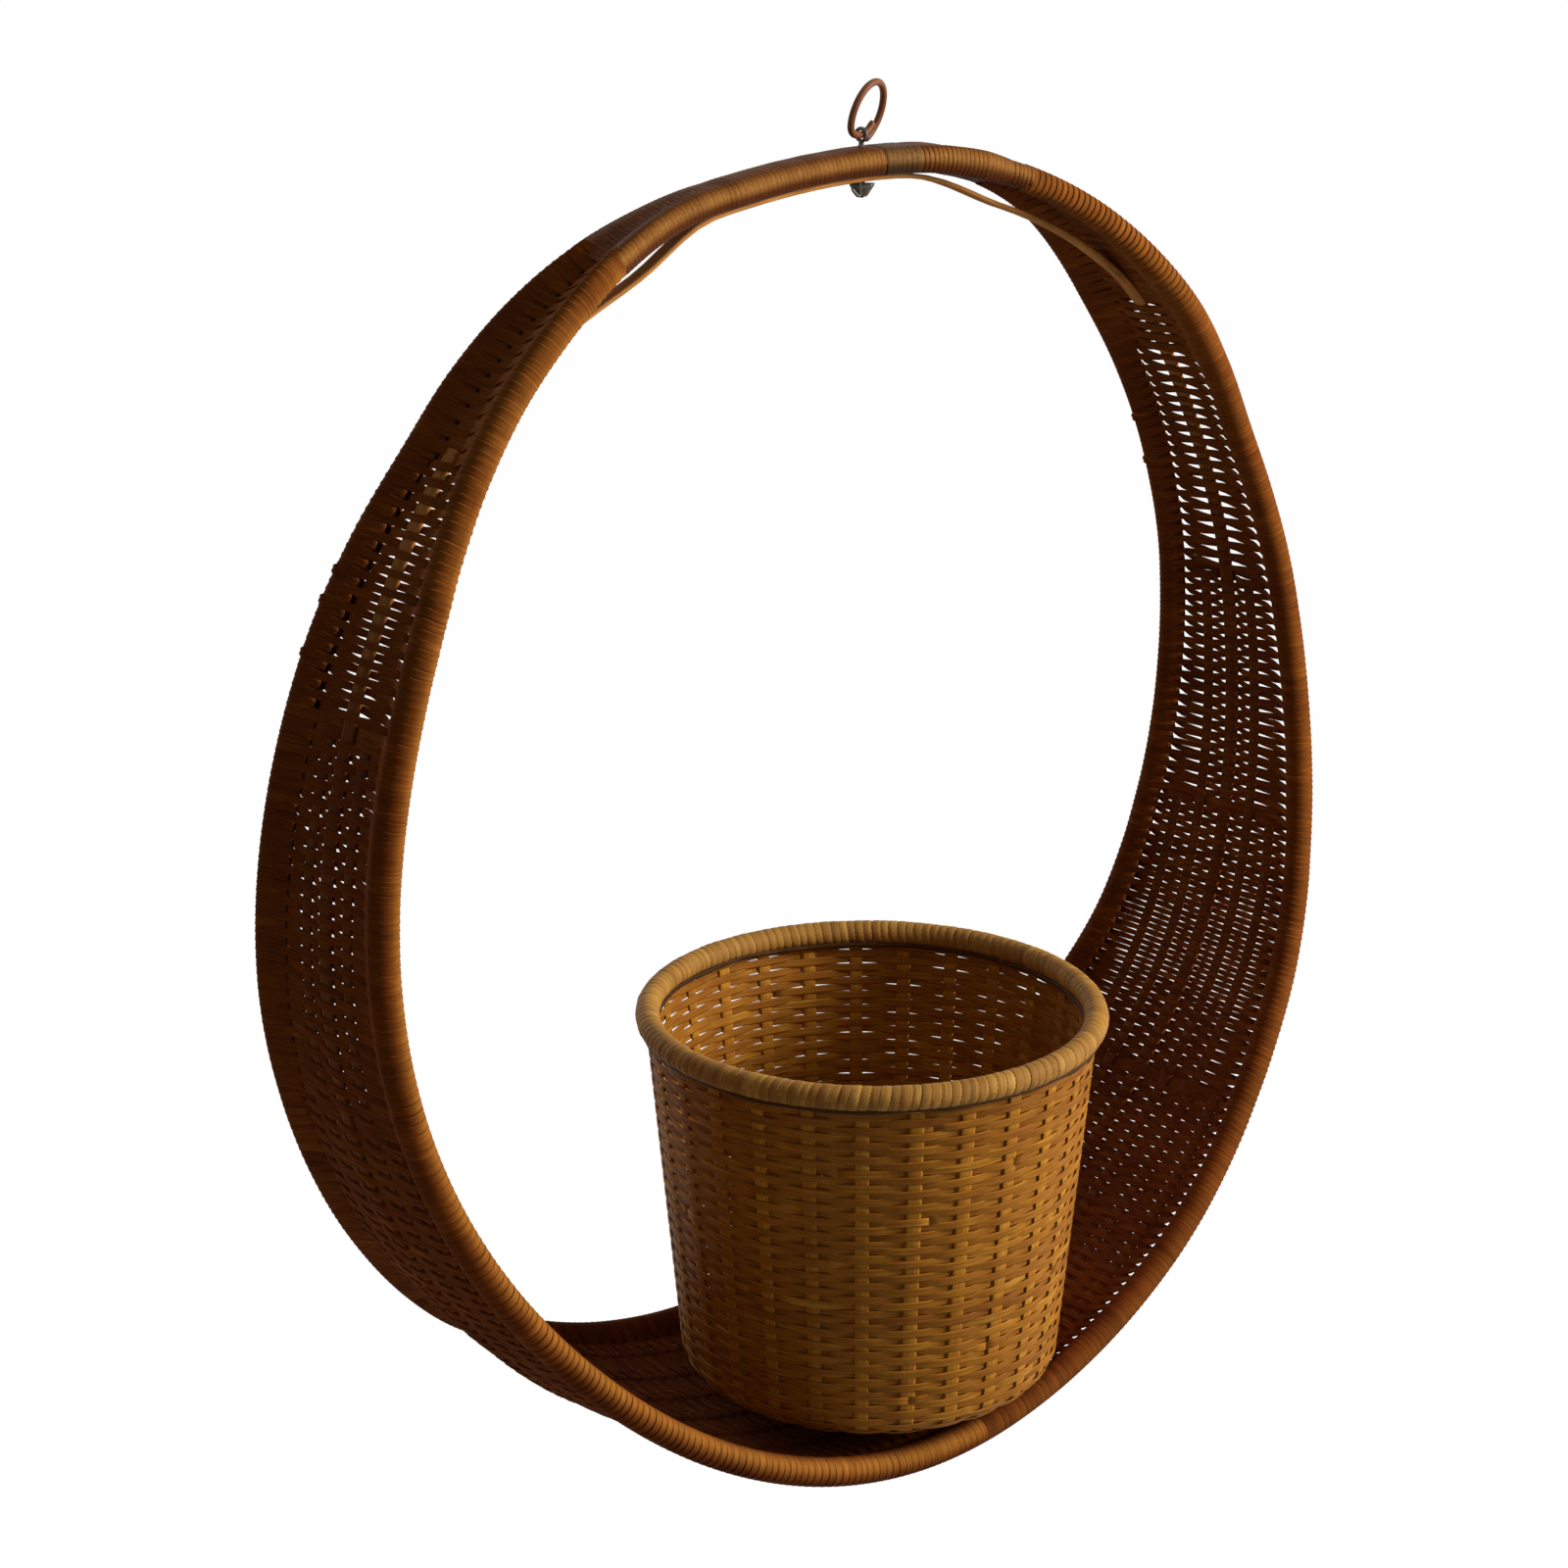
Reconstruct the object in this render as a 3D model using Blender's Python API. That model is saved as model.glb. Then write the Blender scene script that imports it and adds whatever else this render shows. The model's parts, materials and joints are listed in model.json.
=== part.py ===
# Hanging plant holder: a hoop of wrapped cane with a woven band, and a loose woven basket.
# Metres, +Z up. The origin is the point of the hanging ring that rests on a hook.
# X runs across the hoop, Y from its front rim to its rear rim.
import math

import bmesh
import bpy
from mathutils import Matrix, Vector

mm = 0.001

# Clearances
seat_gap = 0.3 * mm          # between pieces that touch
ring_gap = 0.45 * mm         # round the ring's strand in the wire eye
slot_gap = 0.5 * mm          # round the basket wall in the rim's slot

# Hoop outline: a hand-bent circle, measured on the middle of the band
hoop_radius = 290 * mm
outline_cos_shares = {2: 0.0386, 3: 0.0041, 4: 0.0011, 5: -0.0068}
outline_sin_shares = {2: 0.0114, 3: 0.0009, 4: 0.0044, 5: -0.0053}
bends = {
    -45: 0.0, -37.5: 1.4 * mm, -30: 2.0 * mm, -22.5: 2.2 * mm, -15: 0.8 * mm, -7.5: -2.2 * mm, 0: -2.4 * mm,
    7.5: -0.4 * mm, 15: 2.8 * mm, 22.5: 3.9 * mm, 30: 4.0 * mm, 45: 0.8 * mm, 60: -1.0 * mm, 75: 1.7 * mm,
    90: 0.3 * mm, 105: -0.5 * mm, 120: 1.6 * mm, 135: 0.0,
}
hoop_lean = math.radians(-2.9)      # how the hoop hangs, turned about Y
station_count = 48                  # straight stretches round the hoop
station_step = math.tau / station_count
nudge_share = 0.125                 # of a step, to find the hoop's direction
merge_share = 0.05                  # stops nearer to a station than this are left out
slack = 0.01                        # for comparing directions

# Rim poles, flattened where they lie side by side in the crown
pole_radius = 6.1 * mm
crown_pole_height = 5.5 * mm        # half height
crown_pole_width = 4.5 * mm         # half width
crown_split = 2.2 * mm              # between the poles, for the hanger's wire
crown_end = math.radians(22.5)
pole_full = math.radians(45)        # where the poles are round again
strand_wrap = 1.0 * mm              # thickness of the wound strands

# Half width of the band between the pole centres, as shares of the width at the floor
floor_half_width = 93.7 * mm
width_angles = [math.radians(a) for a in (15, 22.5, 30, 45, 60, 90, 120, 150, 180)]
right_width_shares = (0.104, 0.150, 0.216, 0.344, 0.342, 0.475, 0.683, 0.943, 1.0)
left_width_shares = (0.068, 0.128, 0.186, 0.243, 0.376, 0.492, 0.649, 0.884, 1.0)

# The web hangs out between its rims, and the rear rim reaches out further at the lower left
web_sags = {
    -180: 5.0 * mm, -165: 7.5 * mm, -150: 9.0 * mm, -135: 7.0 * mm, -120: 5.5 * mm, -105: 3.0 * mm,
    -90: 0.0, -75: 0.0, 75: 0.0, 90: 0.0, 105: 1.0 * mm, 120: 3.0 * mm, 135: 5.0 * mm, 150: 6.0 * mm,
    165: 5.5 * mm, 180: 5.0 * mm,
}
rear_reaches = {
    -165: 0.0, -150: 2.5 * mm, -142.5: 5.0 * mm, -135: 5.0 * mm, -120: 2.5 * mm, -105: 0.0,
}

# Woven band: a web with a trough for each rib
web_thickness = 1.8 * mm
rib_width = 6.5 * mm
rib_thickness = 1.3 * mm
trough_slope = 1.2 * mm
trough_backing = 1.2 * mm           # strands behind a rib
groove_depth = 1.0 * mm             # shallow start of the middle trough
root_share = 0.6                    # where the web meets the strands round a pole
shoulder_end = math.radians(67.5)
side_end = math.radians(105)
lower_end = math.radians(135)
rib_pairs = {
    "inner": {"start": shoulder_end, "angles": (67.5, 105, 135, 180), "shares": (0.50, 0.38, 0.29, 0.27)},
    "middle": {"start": side_end, "angles": (105, 135, 180), "shares": (0.72, 0.58, 0.53)},
    "outer": {"start": lower_end, "angles": (135, 180), "shares": (0.84, 0.80)},
}

# Middle lath: woven in round the hoop, free under the crown
lath_width = 8.4 * mm
lath_thickness = 2.3 * mm
lath_entry = math.radians(45)       # where it dives into the weave
lath_dip_angles = [math.radians(a) for a in (-36, -24, -12)]
lath_dips = (-2.5 * mm, 8.6 * mm, 6.0 * mm)    # below its hold at the wire
lath_rise_angles = [math.radians(a) for a in (14, 24, 35)]
lath_rises = (4.0 * mm, 5.4 * mm, -1.0 * mm)

# Hanger wire
wire_radius = 0.8 * mm
hanger_angle = math.radians(5.9)
apex_drop = 6.5 * mm                # from the lath down to the fold
fold_radius = 1.0 * mm              # of the wire's middle
fold_turn = math.radians(140)
fold_steps = 6
tail_length = 5.4 * mm
eye_turn_points = 12
eye_yaw = math.radians(22)
slot_round_share = 0.6              # corner of the slot for the wire, of its half width

# Hanging ring: one and an eighth turns of round cane
ring_radius = 14.3 * mm
strand_radius = 1.7 * mm
ring_lean = math.radians(17)
ring_stand = 0.8 * mm               # cut end above the crown
ring_self_gap = 0.5 * mm            # between the overlapping turns
ring_points_per_turn = 28
overlap_start = math.radians(-60)   # inner end, from the lowest point towards +X
overlap_end = math.radians(-22)     # outer end
spread_start = math.radians(8)
spread_end = math.radians(75)

# Basket
stake_count = 27
stake_width = 7.2 * mm
stake_thickness = 1.4 * mm
stake_proud = 0.4 * mm
basket_wall = 2.6 * mm
basket_base_radius = 94.0 * mm
basket_top_radius = 110.0 * mm
basket_height = 183.5 * mm
basket_corner = 14 * mm
basket_lip = 5.0 * mm               # turned in under the base
corner_steps = 3
wall_steps = 2
seat_samples = 216                  # round the basket, for its place on the floor
basket_x = -10.9 * mm               # from the hanging ring's plumb line
basket_y = -22 * mm                 # from the middle of the band
base_thickness = 2.6 * mm
hub_radius = 24 * mm
hub_rise = 0.8 * mm
rim_radius = 6.0 * mm
rim_strand = 1.0 * mm
rim_core_radius = 2.2 * mm

# Seam of the crown's binding and its patch
patch_start = math.radians(8.6)
patch_end = math.radians(13.2)
patch_proud = 0.4 * mm

overrun = 4.0 * mm                  # cutters past what they cut


# Scene

for old in list(bpy.data.objects):
    bpy.data.objects.remove(old, do_unlink=True)


def material(name, colour, roughness, metallic=0.0):
    made = bpy.data.materials.new(name)
    made.use_nodes = True
    shader = made.node_tree.nodes["Principled BSDF"]
    shader.inputs["Base Color"].default_value = (*colour, 1.0)
    shader.inputs["Roughness"].default_value = roughness
    shader.inputs["Metallic"].default_value = metallic
    return made


dark_cane = material("dark_cane", (0.085, 0.030, 0.010), 0.55)
amber_cane = material("amber_cane", (0.240, 0.095, 0.025), 0.50)
pole_cane = material("pole_cane", (0.300, 0.170, 0.080), 0.60)
lath_cane = material("lath_cane", (0.330, 0.150, 0.055), 0.50)
honey_cane = material("honey_cane", (0.420, 0.190, 0.035), 0.50)
stake_cane = material("stake_cane", (0.480, 0.230, 0.045), 0.48)
rim_cane = material("rim_cane", (0.380, 0.210, 0.070), 0.52)
grey_wire = material("grey_wire", (0.280, 0.270, 0.250), 0.45, 1.0)


def add_object(name, mesh, finish, parent):
    mesh.materials.append(finish)
    mesh.shade_smooth()
    mesh.set_sharp_from_angle(angle=math.radians(40))
    made = bpy.data.objects.new(name, mesh)
    bpy.context.scene.collection.objects.link(made)
    made.parent = parent
    return made


def empty(name, location, parent=None):
    made = bpy.data.objects.new(name, None)
    made.location = location
    made.parent = parent
    bpy.context.scene.collection.objects.link(made)
    return made


def loft(name, sections, finish, parent, caps=None):
    """Skin a list of sections, each a list of loops of points; caps are faces over a section's points."""
    bm = bmesh.new()
    rings = [[[bm.verts.new(p) for p in loop] for loop in section] for section in sections]
    closed = caps is None
    pairs = list(zip(rings, rings[1:]))
    if closed:
        pairs.append((rings[-1], rings[0]))
    for here, there in pairs:
        for loop_a, loop_b in zip(here, there):
            for i, vert in enumerate(loop_a):
                j = (i + 1) % len(loop_a)
                bm.faces.new((vert, loop_a[j], loop_b[j], loop_b[i]))
    if not closed:
        for end in (rings[0], rings[-1]):
            verts = [v for loop in end for v in loop]
            for face in caps:
                bm.faces.new([verts[i] for i in face])
    bmesh.ops.recalc_face_normals(bm, faces=bm.faces)
    mesh = bpy.data.meshes.new(name)
    bm.to_mesh(mesh)
    bm.free()
    return add_object(name, mesh, finish, parent)


def tube(name, points, radius, finish, parent, sides_resolution):
    """A round strand along a list of points, its ends closed."""
    curve = bpy.data.curves.new(name, "CURVE")
    curve.dimensions = "3D"
    curve.bevel_depth = radius
    curve.bevel_resolution = sides_resolution
    curve.use_fill_caps = True
    curve.render_resolution_u = 0
    spline = curve.splines.new("POLY")
    spline.points.add(len(points) - 1)
    for knot, p in zip(spline.points, points):
        knot.co = (*p, 1.0)
    curve.materials.append(finish)
    made = bpy.data.objects.new(name, curve)
    bpy.context.scene.collection.objects.link(made)
    made.parent = parent
    return made


# Interpolation along the hoop

def smooth_table(angle, angles, values):
    """Smooth value at an angle, through knots, level at both ends."""
    if angle <= angles[0]:
        return values[0]
    for i in range(len(angles) - 1):
        if angle <= angles[i + 1]:
            break
    span = angles[i + 1] - angles[i]
    t = min((angle - angles[i]) / span, 1.0)

    def slope(k):
        if k == 0 or k == len(angles) - 1:
            return 0.0
        return (values[k + 1] - values[k - 1]) / (angles[k + 1] - angles[k - 1])

    a, b = values[i], values[i + 1]
    m0, m1 = slope(i) * span, slope(i + 1) * span
    return a + t * (m0 + t * (3 * (b - a) - 2 * m0 - m1 + t * (2 * (a - b) + m0 + m1)))


def signed_table(angle, sizes):
    """Smooth size at an angle, from sizes by degrees, negative to the left of the top."""
    folded = math.remainder(angle, math.tau)
    return smooth_table(folded, [math.radians(a) for a in sizes], list(sizes.values()))


def ease(t):
    t = max(0.0, min(1.0, t))
    return t * t * (3 - 2 * t)


def outline(angle):
    swell = sum(s * math.cos(k * angle) for k, s in outline_cos_shares.items())
    swell += sum(s * math.sin(k * angle) for k, s in outline_sin_shares.items())
    reach = hoop_radius * (1 + swell) + signed_table(angle, bends)
    return Vector((reach * math.sin(angle), 0.0, reach * math.cos(angle)))


crown_half_width = crown_pole_width + crown_split / 2


def true_half_width(angle):
    shares = right_width_shares if math.sin(angle) > 0 else left_width_shares
    knots = [0.0] + width_angles
    values = [crown_half_width] + [max(s * floor_half_width, crown_half_width) for s in shares]
    return smooth_table(abs(math.remainder(angle, math.tau)), knots, values)


def true_pole(angle):
    """Half height and half width of a pole."""
    t = ease((abs(math.remainder(angle, math.tau)) - crown_end) / (pole_full - crown_end))
    height = crown_pole_height + (pole_radius - crown_pole_height) * t
    width = crown_pole_width + (pole_radius - crown_pole_width) * t
    return height, width


def station(index):
    """Middle of the band, its outward normal, half width, pole size, web's sag and rear rim's reach."""
    angle = index * station_step
    nudge = station_step * nudge_share
    along = (outline(angle + nudge) - outline(angle - nudge)).normalized()
    normal = Vector((-along.z, 0.0, along.x))
    if normal.dot(outline(angle)) < 0:
        normal.negate()
    shape = (signed_table(angle, web_sags), signed_table(angle, rear_reaches))
    return outline(angle), normal, true_half_width(angle), *true_pole(angle), *shape


stations = [station(i) for i in range(station_count)]


def at(angle):
    """Station values between stations, on the straight line from one to the next."""
    place = angle / station_step
    low = math.floor(place + slack * slack)
    t = max(place - low, 0.0)
    a = stations[low % station_count]
    b = stations[(low + 1) % station_count]
    return [p + (q - p) * t for p, q in zip(a, b)]


def spot(angle, across, out):
    """Point on the hoop at an angle, a distance across the band and a distance outwards."""
    middle, normal, half, *_, reach = at(angle)
    lift = reach * (1 + across / half) / 2
    return middle + normal * (out + lift) + Vector((0.0, across, 0.0))


def sag(angle, across):
    """How far the web hangs out at a distance across the band, none at the rims."""
    _, _, half, _, wide, deepest, _ = at(angle)
    root = half - wide - (seat_gap + strand_wrap) * root_share
    return deepest * max(1 - (across / root) ** 2, 0.0)


def stops(start, end):
    """Angles from start to end, stopping at every station between."""
    inside = [i * station_step for i in range(-station_count, station_count + 1)]
    tiny = station_step * merge_share
    return [start] + [a for a in inside if start + tiny < a < end - tiny] + [end]


def gap_angle(gap):
    return gap / hoop_radius


def clear_half_width(angle):
    """From the middle to the strands round a pole."""
    _, _, half, _, pole, *_ = at(angle)
    return half - pole - seat_gap - strand_wrap


def rib_across(pair, angle):
    folded = abs(math.remainder(angle, math.tau))
    knots = [math.radians(a) for a in pair["angles"]]
    return smooth_table(folded, knots, pair["shares"]) * clear_half_width(angle)


pole_sides = 8
pole_turn = [math.tau * i / pole_sides for i in range(pole_sides)]

holder = empty("holder", (0, 0, 0))
hoop = empty("hoop", (0, 0, 0), holder)
hoop.rotation_euler.y = hoop_lean


# Rim poles

def pole_loop(angle, side, grow):
    _, _, half, tall, wide, *_ = at(angle)
    return [spot(angle, side * (half + (wide + grow) * math.cos(a)), (tall + grow) * math.sin(a))
            for a in pole_turn]


def make_pole(name, side):
    loft(name, [[pole_loop(i * station_step, side, 0.0)] for i in range(station_count)], pole_cane, hoop)


make_pole("front_rim", -1)
make_pole("rear_rim", 1)


# Crown: strands bound round both poles

crown_round = 16


def oval(angle, grow):
    _, _, half, tall, wide, *_ = at(angle)
    points = []
    for i in range(crown_round):
        a = math.tau * (i + 0.5) / crown_round
        corner_across = half + wide * math.cos(a) if math.cos(a) > 0 else -half + wide * math.cos(a)
        points.append(spot(angle, corner_across + grow * math.cos(a), (tall + grow) * math.sin(a)))
    return points


def binding(name, start, end, proud, finish):
    bore = seat_gap / math.cos(math.pi / crown_round)
    sections = [[oval(a, bore + strand_wrap + proud), oval(a, bore)]
                for a in stops(start, end)]
    caps = [(i, (i + 1) % crown_round, crown_round + (i + 1) % crown_round, crown_round + i)
            for i in range(crown_round)]
    return loft(name, sections, finish, hoop, caps)


half_seam = gap_angle(seat_gap) / 2
crown_left = binding("crown_binding_left", -crown_end + half_seam, patch_start - half_seam, 0.0, amber_cane)
binding("crown_patch", patch_start + half_seam, patch_end - half_seam, patch_proud, dark_cane)
binding("crown_binding_right", patch_end + half_seam, crown_end - half_seam, 0.0, amber_cane)


# Woven band

def trough_depth(angle, middle):
    """How deep the trough for a rib is; the middle one starts shallow under the shoulder."""
    full = rib_thickness + seat_gap
    if not middle:
        return full
    full = lath_thickness + seat_gap
    folded = abs(math.remainder(angle, math.tau))
    return groove_depth + (full - groove_depth) * ease((folded - crown_end) / (lath_entry - crown_end))


def weave_section(angle, pairs):
    """Outer loop and the two bores of a stretch of band, seen along the hoop."""
    _, _, half, tall, wide, *_ = at(angle)
    grow = seat_gap + strand_wrap
    root = half - wide - grow * root_share
    centres = [(rib_across(pair, angle), False) for pair in pairs]
    ribs = [(-c, m) for c, m in reversed(centres)] + [(0.0, True)] + centres
    face = web_thickness / 2
    outer_chain = [(-root, face)]
    inner_chain = [(-root, -face)]
    for across, middle in ribs:
        piece_width = lath_width if middle else rib_width
        reach = piece_width / 2 + seat_gap
        depth = trough_depth(angle, middle)
        back = -face + depth + trough_backing
        inner_chain += [(across - reach, -face), (across - reach, -face + depth),
                        (across + reach, -face + depth), (across + reach, -face)]
        slope = reach + trough_slope
        outer_chain += [(across - slope, face), (across - reach, max(back, face)),
                        (across + reach, max(back, face)), (across + slope, face)]
    outer_chain.append((root, face))
    inner_chain.append((root, -face))
    arc = [a for a in pole_turn if math.cos(a) > slack - 1]

    def sleeve(side):
        """Round the far side of a pole, from the outer face to the inner face."""
        order = sorted((math.remainder(a, math.tau) for a in arc), reverse=True)
        return [(side * (half + (wide + grow) * math.cos(a)), (tall + grow) * math.sin(a)) for a in order]

    rear = sleeve(1)
    front = list(reversed(sleeve(-1)))
    loop = outer_chain + rear + list(reversed(inner_chain)) + front
    points = [spot(angle, across, out + sag(angle, across)) for across, out in loop]
    return [points, pole_loop(angle, 1, seat_gap), pole_loop(angle, -1, seat_gap)]


def weave_caps(pairs):
    """End faces of a stretch: strips of four-sided faces over the web and round both bores."""
    chain = 2 + 4 * (1 + 2 * len(pairs))
    arc = pole_sides - 1
    outer = list(range(chain))
    rear = list(range(chain, chain + arc))
    inner = list(range(chain + arc, 2 * chain + arc))
    inner.reverse()
    front = list(range(2 * chain + arc, 2 * chain + 2 * arc))
    front.reverse()
    first_bore = 2 * chain + 2 * arc
    caps = [(outer[i], outer[i + 1], inner[i + 1], inner[i]) for i in range(chain - 1)]
    half_turn = pole_sides // 2
    order = [k % pole_sides for k in range(half_turn - 1, -half_turn, -1)]
    for sleeve, start, top, bottom in ((rear, first_bore, outer[-1], inner[-1]),
                                       (front, first_bore + pole_sides, outer[0], inner[0])):
        bore = [start + k for k in order]
        facing = start + half_turn
        for i in range(arc - 1):
            caps.append((sleeve[i], sleeve[i + 1], bore[i + 1], bore[i]))
        caps.append((top, sleeve[0], bore[0], facing))
        caps.append((bottom, sleeve[-1], bore[-1], facing))
        caps.append((top, facing, bottom))
    return caps


def weave(name, start, end, pairs, finish):
    sections = [weave_section(a, pairs) for a in stops(start + half_seam, end - half_seam)]
    return loft(name, sections, finish, hoop, weave_caps(pairs))


all_pairs = list(rib_pairs.values())
bands = (("shoulder_weave", crown_end, shoulder_end, all_pairs[:0], amber_cane),
         ("side_weave", shoulder_end, side_end, all_pairs[:1], dark_cane),
         ("lower_weave", side_end, lower_end, all_pairs[:2], dark_cane),
         ("floor_weave", lower_end, math.pi, all_pairs, dark_cane))
for name, start, end, pairs, finish in bands:
    weave(name + "_right", start, end, pairs, finish)
    weave(name + "_left", -end, -start, pairs, finish)


# Ribs: flat splints in the troughs

def splint_loop(angle, across, width, thickness, out):
    """Flat against the weave and domed towards the middle of the hoop."""
    half = width / 2
    corners = ((-half, out), (half, out), (half, out - thickness / 2), (half / 2, out - thickness),
               (-half / 2, out - thickness), (-half, out - thickness / 2))
    return [spot(angle, across + a, o + sag(angle, across + a)) for a, o in corners]


for place, pair in rib_pairs.items():
    for side, word in ((-1, "front"), (1, "rear")):
        start = pair["start"] + half_seam
        back = -web_thickness / 2 + rib_thickness
        loops = [[splint_loop(a, side * rib_across(pair, a), rib_width, rib_thickness, back)]
                 for a in stops(start, math.tau - start)]
        cap = [(0, 1, 2, 5), (5, 2, 3, 4)]
        loft(f"{place}_rib_{word}", loops, lath_cane, hoop, cap)


# Lath

crown_under = crown_pole_height + seat_gap + strand_wrap


def lath_out(angle):
    """Outward place of the lath's flat face: in its trough, then clear of the crown."""
    folded = math.remainder(angle, math.tau)
    woven = -web_thickness / 2 + lath_thickness
    held = -crown_under - seat_gap
    knots = [-lath_entry, *lath_dip_angles, hanger_angle, *lath_rise_angles, lath_entry]
    drops = [held - d for d in lath_dips] + [held] + [held - d for d in lath_rises]
    return smooth_table(folded, knots, [woven, *drops, woven])


def lath_angles():
    angles = []
    for i in range(station_count):
        angle = i * station_step
        angles.append(angle)
        if abs(math.remainder(angle + station_step / 2, math.tau)) < lath_entry:
            angles.append(angle + station_step / 2)
    return angles


lath = loft("centre_lath", [[splint_loop(a, 0.0, lath_width, lath_thickness, lath_out(a))] for a in lath_angles()],
            lath_cane, hoop)


# Hanger wire: an eye above the crown, legs between the poles, folded ends under the lath

hang_middle, hang_normal, *_ = at(hanger_angle)
hang_along = Vector((hang_normal.z, 0.0, -hang_normal.x))
crown_top = crown_pole_height + seat_gap + strand_wrap
eye_radius = strand_radius + ring_gap + wire_radius
leg_apart = wire_radius + seat_gap / 2
overlap_drop = ring_radius * math.cos(overlap_end)


def ring_reach(angle):
    """Distance of the strand from the ring's centre, at an angle from the lowest point."""
    inner = ring_radius - 2 * strand_radius - ring_self_gap
    return inner + (ring_radius - inner) * ease((angle - spread_start) / (spread_end - spread_start))


eye_height = crown_top + ring_stand + strand_radius + overlap_drop - ring_reach(0.0)


def hanger_point(along, across, out):
    return hang_middle + hang_along * along + Vector((0.0, across, 0.0)) + hang_normal * out


lath_under = lath_out(hanger_angle) - lath_thickness


def leg(side):
    """One leg, from the tip of its folded end up to the start of the eye."""
    fold_out = lath_under - apex_drop + fold_radius
    places = []
    for i in range(fold_steps + 1):
        a = fold_turn * (1 - i / fold_steps)
        places.append((leg_apart + fold_radius * (1 - math.cos(a)), 0.0, fold_out - fold_radius * math.sin(a)))
    along, _, out = places[0]
    tip = (along - tail_length * math.sin(math.pi + fold_turn), 0.0, out - tail_length * math.cos(fold_turn))
    top = (leg_apart, 0.0, crown_top)
    eye_start = (leg_apart * math.cos(eye_yaw), leg_apart * math.sin(eye_yaw), eye_height - eye_radius)
    return [hanger_point(side * a, side * b, c) for a, b, c in [tip, *places, top, eye_start]]


def eye_turn():
    """One turn of the eye round the ring's strand, stepping sideways by a wire."""
    points = []
    for i in range(1, eye_turn_points):
        t = i / eye_turn_points
        a = math.tau * t
        shift = -leg_apart + 2 * leg_apart * t
        wide = -eye_radius * math.sin(a)
        along = shift * math.cos(eye_yaw) - wide * math.sin(eye_yaw)
        across = shift * math.sin(eye_yaw) + wide * math.cos(eye_yaw)
        points.append(hanger_point(along, across, eye_height - eye_radius * math.cos(a)))
    return points


tube("hanger_wire", leg(-1) + eye_turn() + list(reversed(leg(1))), wire_radius, grey_wire, hoop, 1)

slot = empty("slot_place", (0, 0, 0), hoop)
slot.matrix_local = Matrix((
    (hang_along.x, 0.0, hang_normal.x, hang_middle.x),
    (0.0, 1.0, 0.0, 0.0),
    (hang_along.z, 0.0, hang_normal.z, hang_middle.z),
    (0.0, 0.0, 0.0, 1.0)))
slot_half_length = leg_apart + wire_radius + seat_gap
slot_half_width = wire_radius + seat_gap
slot_height = overrun - lath_under
bm = bmesh.new()
bmesh.ops.create_cube(bm, size=2.0, matrix=Matrix.Diagonal((slot_half_length, slot_half_width, slot_height, 1)))
upright = [e for e in bm.edges if abs(e.verts[0].co.z - e.verts[1].co.z) > slot_height]
bmesh.ops.bevel(bm, geom=upright, offset=slot_half_width * slot_round_share, segments=2, profile=0.5, affect="EDGES")
slot_mesh = bpy.data.meshes.new("wire_slot")
bm.to_mesh(slot_mesh)
bm.free()
cutter = bpy.data.objects.new("wire_slot", slot_mesh)
bpy.context.scene.collection.objects.link(cutter)
cutter.parent = slot
cutter.hide_render = True
cutter.display_type = "WIRE"
for piece in (crown_left, lath):
    cut = piece.modifiers.new("wire_slot", "BOOLEAN")
    cut.object = cutter


# Hanging ring, turned about the strand in the eye

ring_pivot = empty("ring_pivot", hanger_point(0.0, 0.0, eye_height), hoop)
hinge_along = hang_along * math.cos(eye_yaw) + Vector((0.0, math.sin(eye_yaw), 0.0))
hinge_across = hang_normal.cross(hinge_along)
hinge_frame = Matrix((hinge_along, hinge_across, hang_normal)).transposed()
lean = Matrix.Rotation(ring_lean, 3, "X")
ring_pivot.rotation_euler = (hinge_frame @ lean).to_euler()
ring_centre = ring_reach(0.0)


def ring_point(angle):
    reach = ring_reach(angle)
    return Vector((-reach * math.sin(angle), 0.0, ring_centre - reach * math.cos(angle)))


ring_sweep = math.tau + overlap_end - overlap_start
ring_steps = round(ring_points_per_turn * ring_sweep / math.tau)
ring_route = [ring_point(overlap_start + ring_sweep * i / ring_steps) for i in range(ring_steps + 1)]
tube("hang_ring", ring_route, strand_radius, amber_cane, ring_pivot, 2)
self_gap = min((p - q).length for i, p in enumerate(ring_route) for q in ring_route[i + ring_points_per_turn // 2:])
print("ring's least gap to itself, mm:", round((self_gap - 2 * strand_radius) / mm, 3))


# The whole hangs from the inside of the ring's top

hoop_turn = Matrix.Rotation(hoop_lean, 3, "Y")
hook_in_ring = Vector((0.0, 0.0, ring_centre + ring_radius - strand_radius))
hook_in_hoop = hanger_point(0.0, 0.0, eye_height) + hinge_frame @ lean @ hook_in_ring
hook = hoop_turn @ hook_in_hoop
hoop.location = -hook


def hoop_to_world(point):
    return hoop_turn @ point - hook


# Basket profile, from the edge of the lip to the top, with outward normals

bay = math.tau / stake_count
half_stake_angle = (stake_width / 2 + seat_gap) / basket_base_radius


def basket_profile():
    flat = basket_base_radius - basket_corner
    rise = basket_height - basket_corner
    taper = math.atan2(basket_top_radius - basket_base_radius, rise)
    places = [(flat - basket_lip, 0.0, 0.0, -1.0)]
    for i in range(corner_steps + 1):
        a = (math.pi / 2 - taper) * i / corner_steps
        places.append((flat + basket_corner * math.sin(a), basket_corner * (1 - math.cos(a)),
                       math.sin(a), -math.cos(a)))
    last_r, last_z, nr, nz = places[-1]
    for i in range(1, wall_steps + 1):
        t = i / wall_steps
        places.append((last_r + (basket_top_radius - last_r) * t, last_z + (basket_height - last_z) * t, nr, nz))
    return places


profile = basket_profile()


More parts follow.
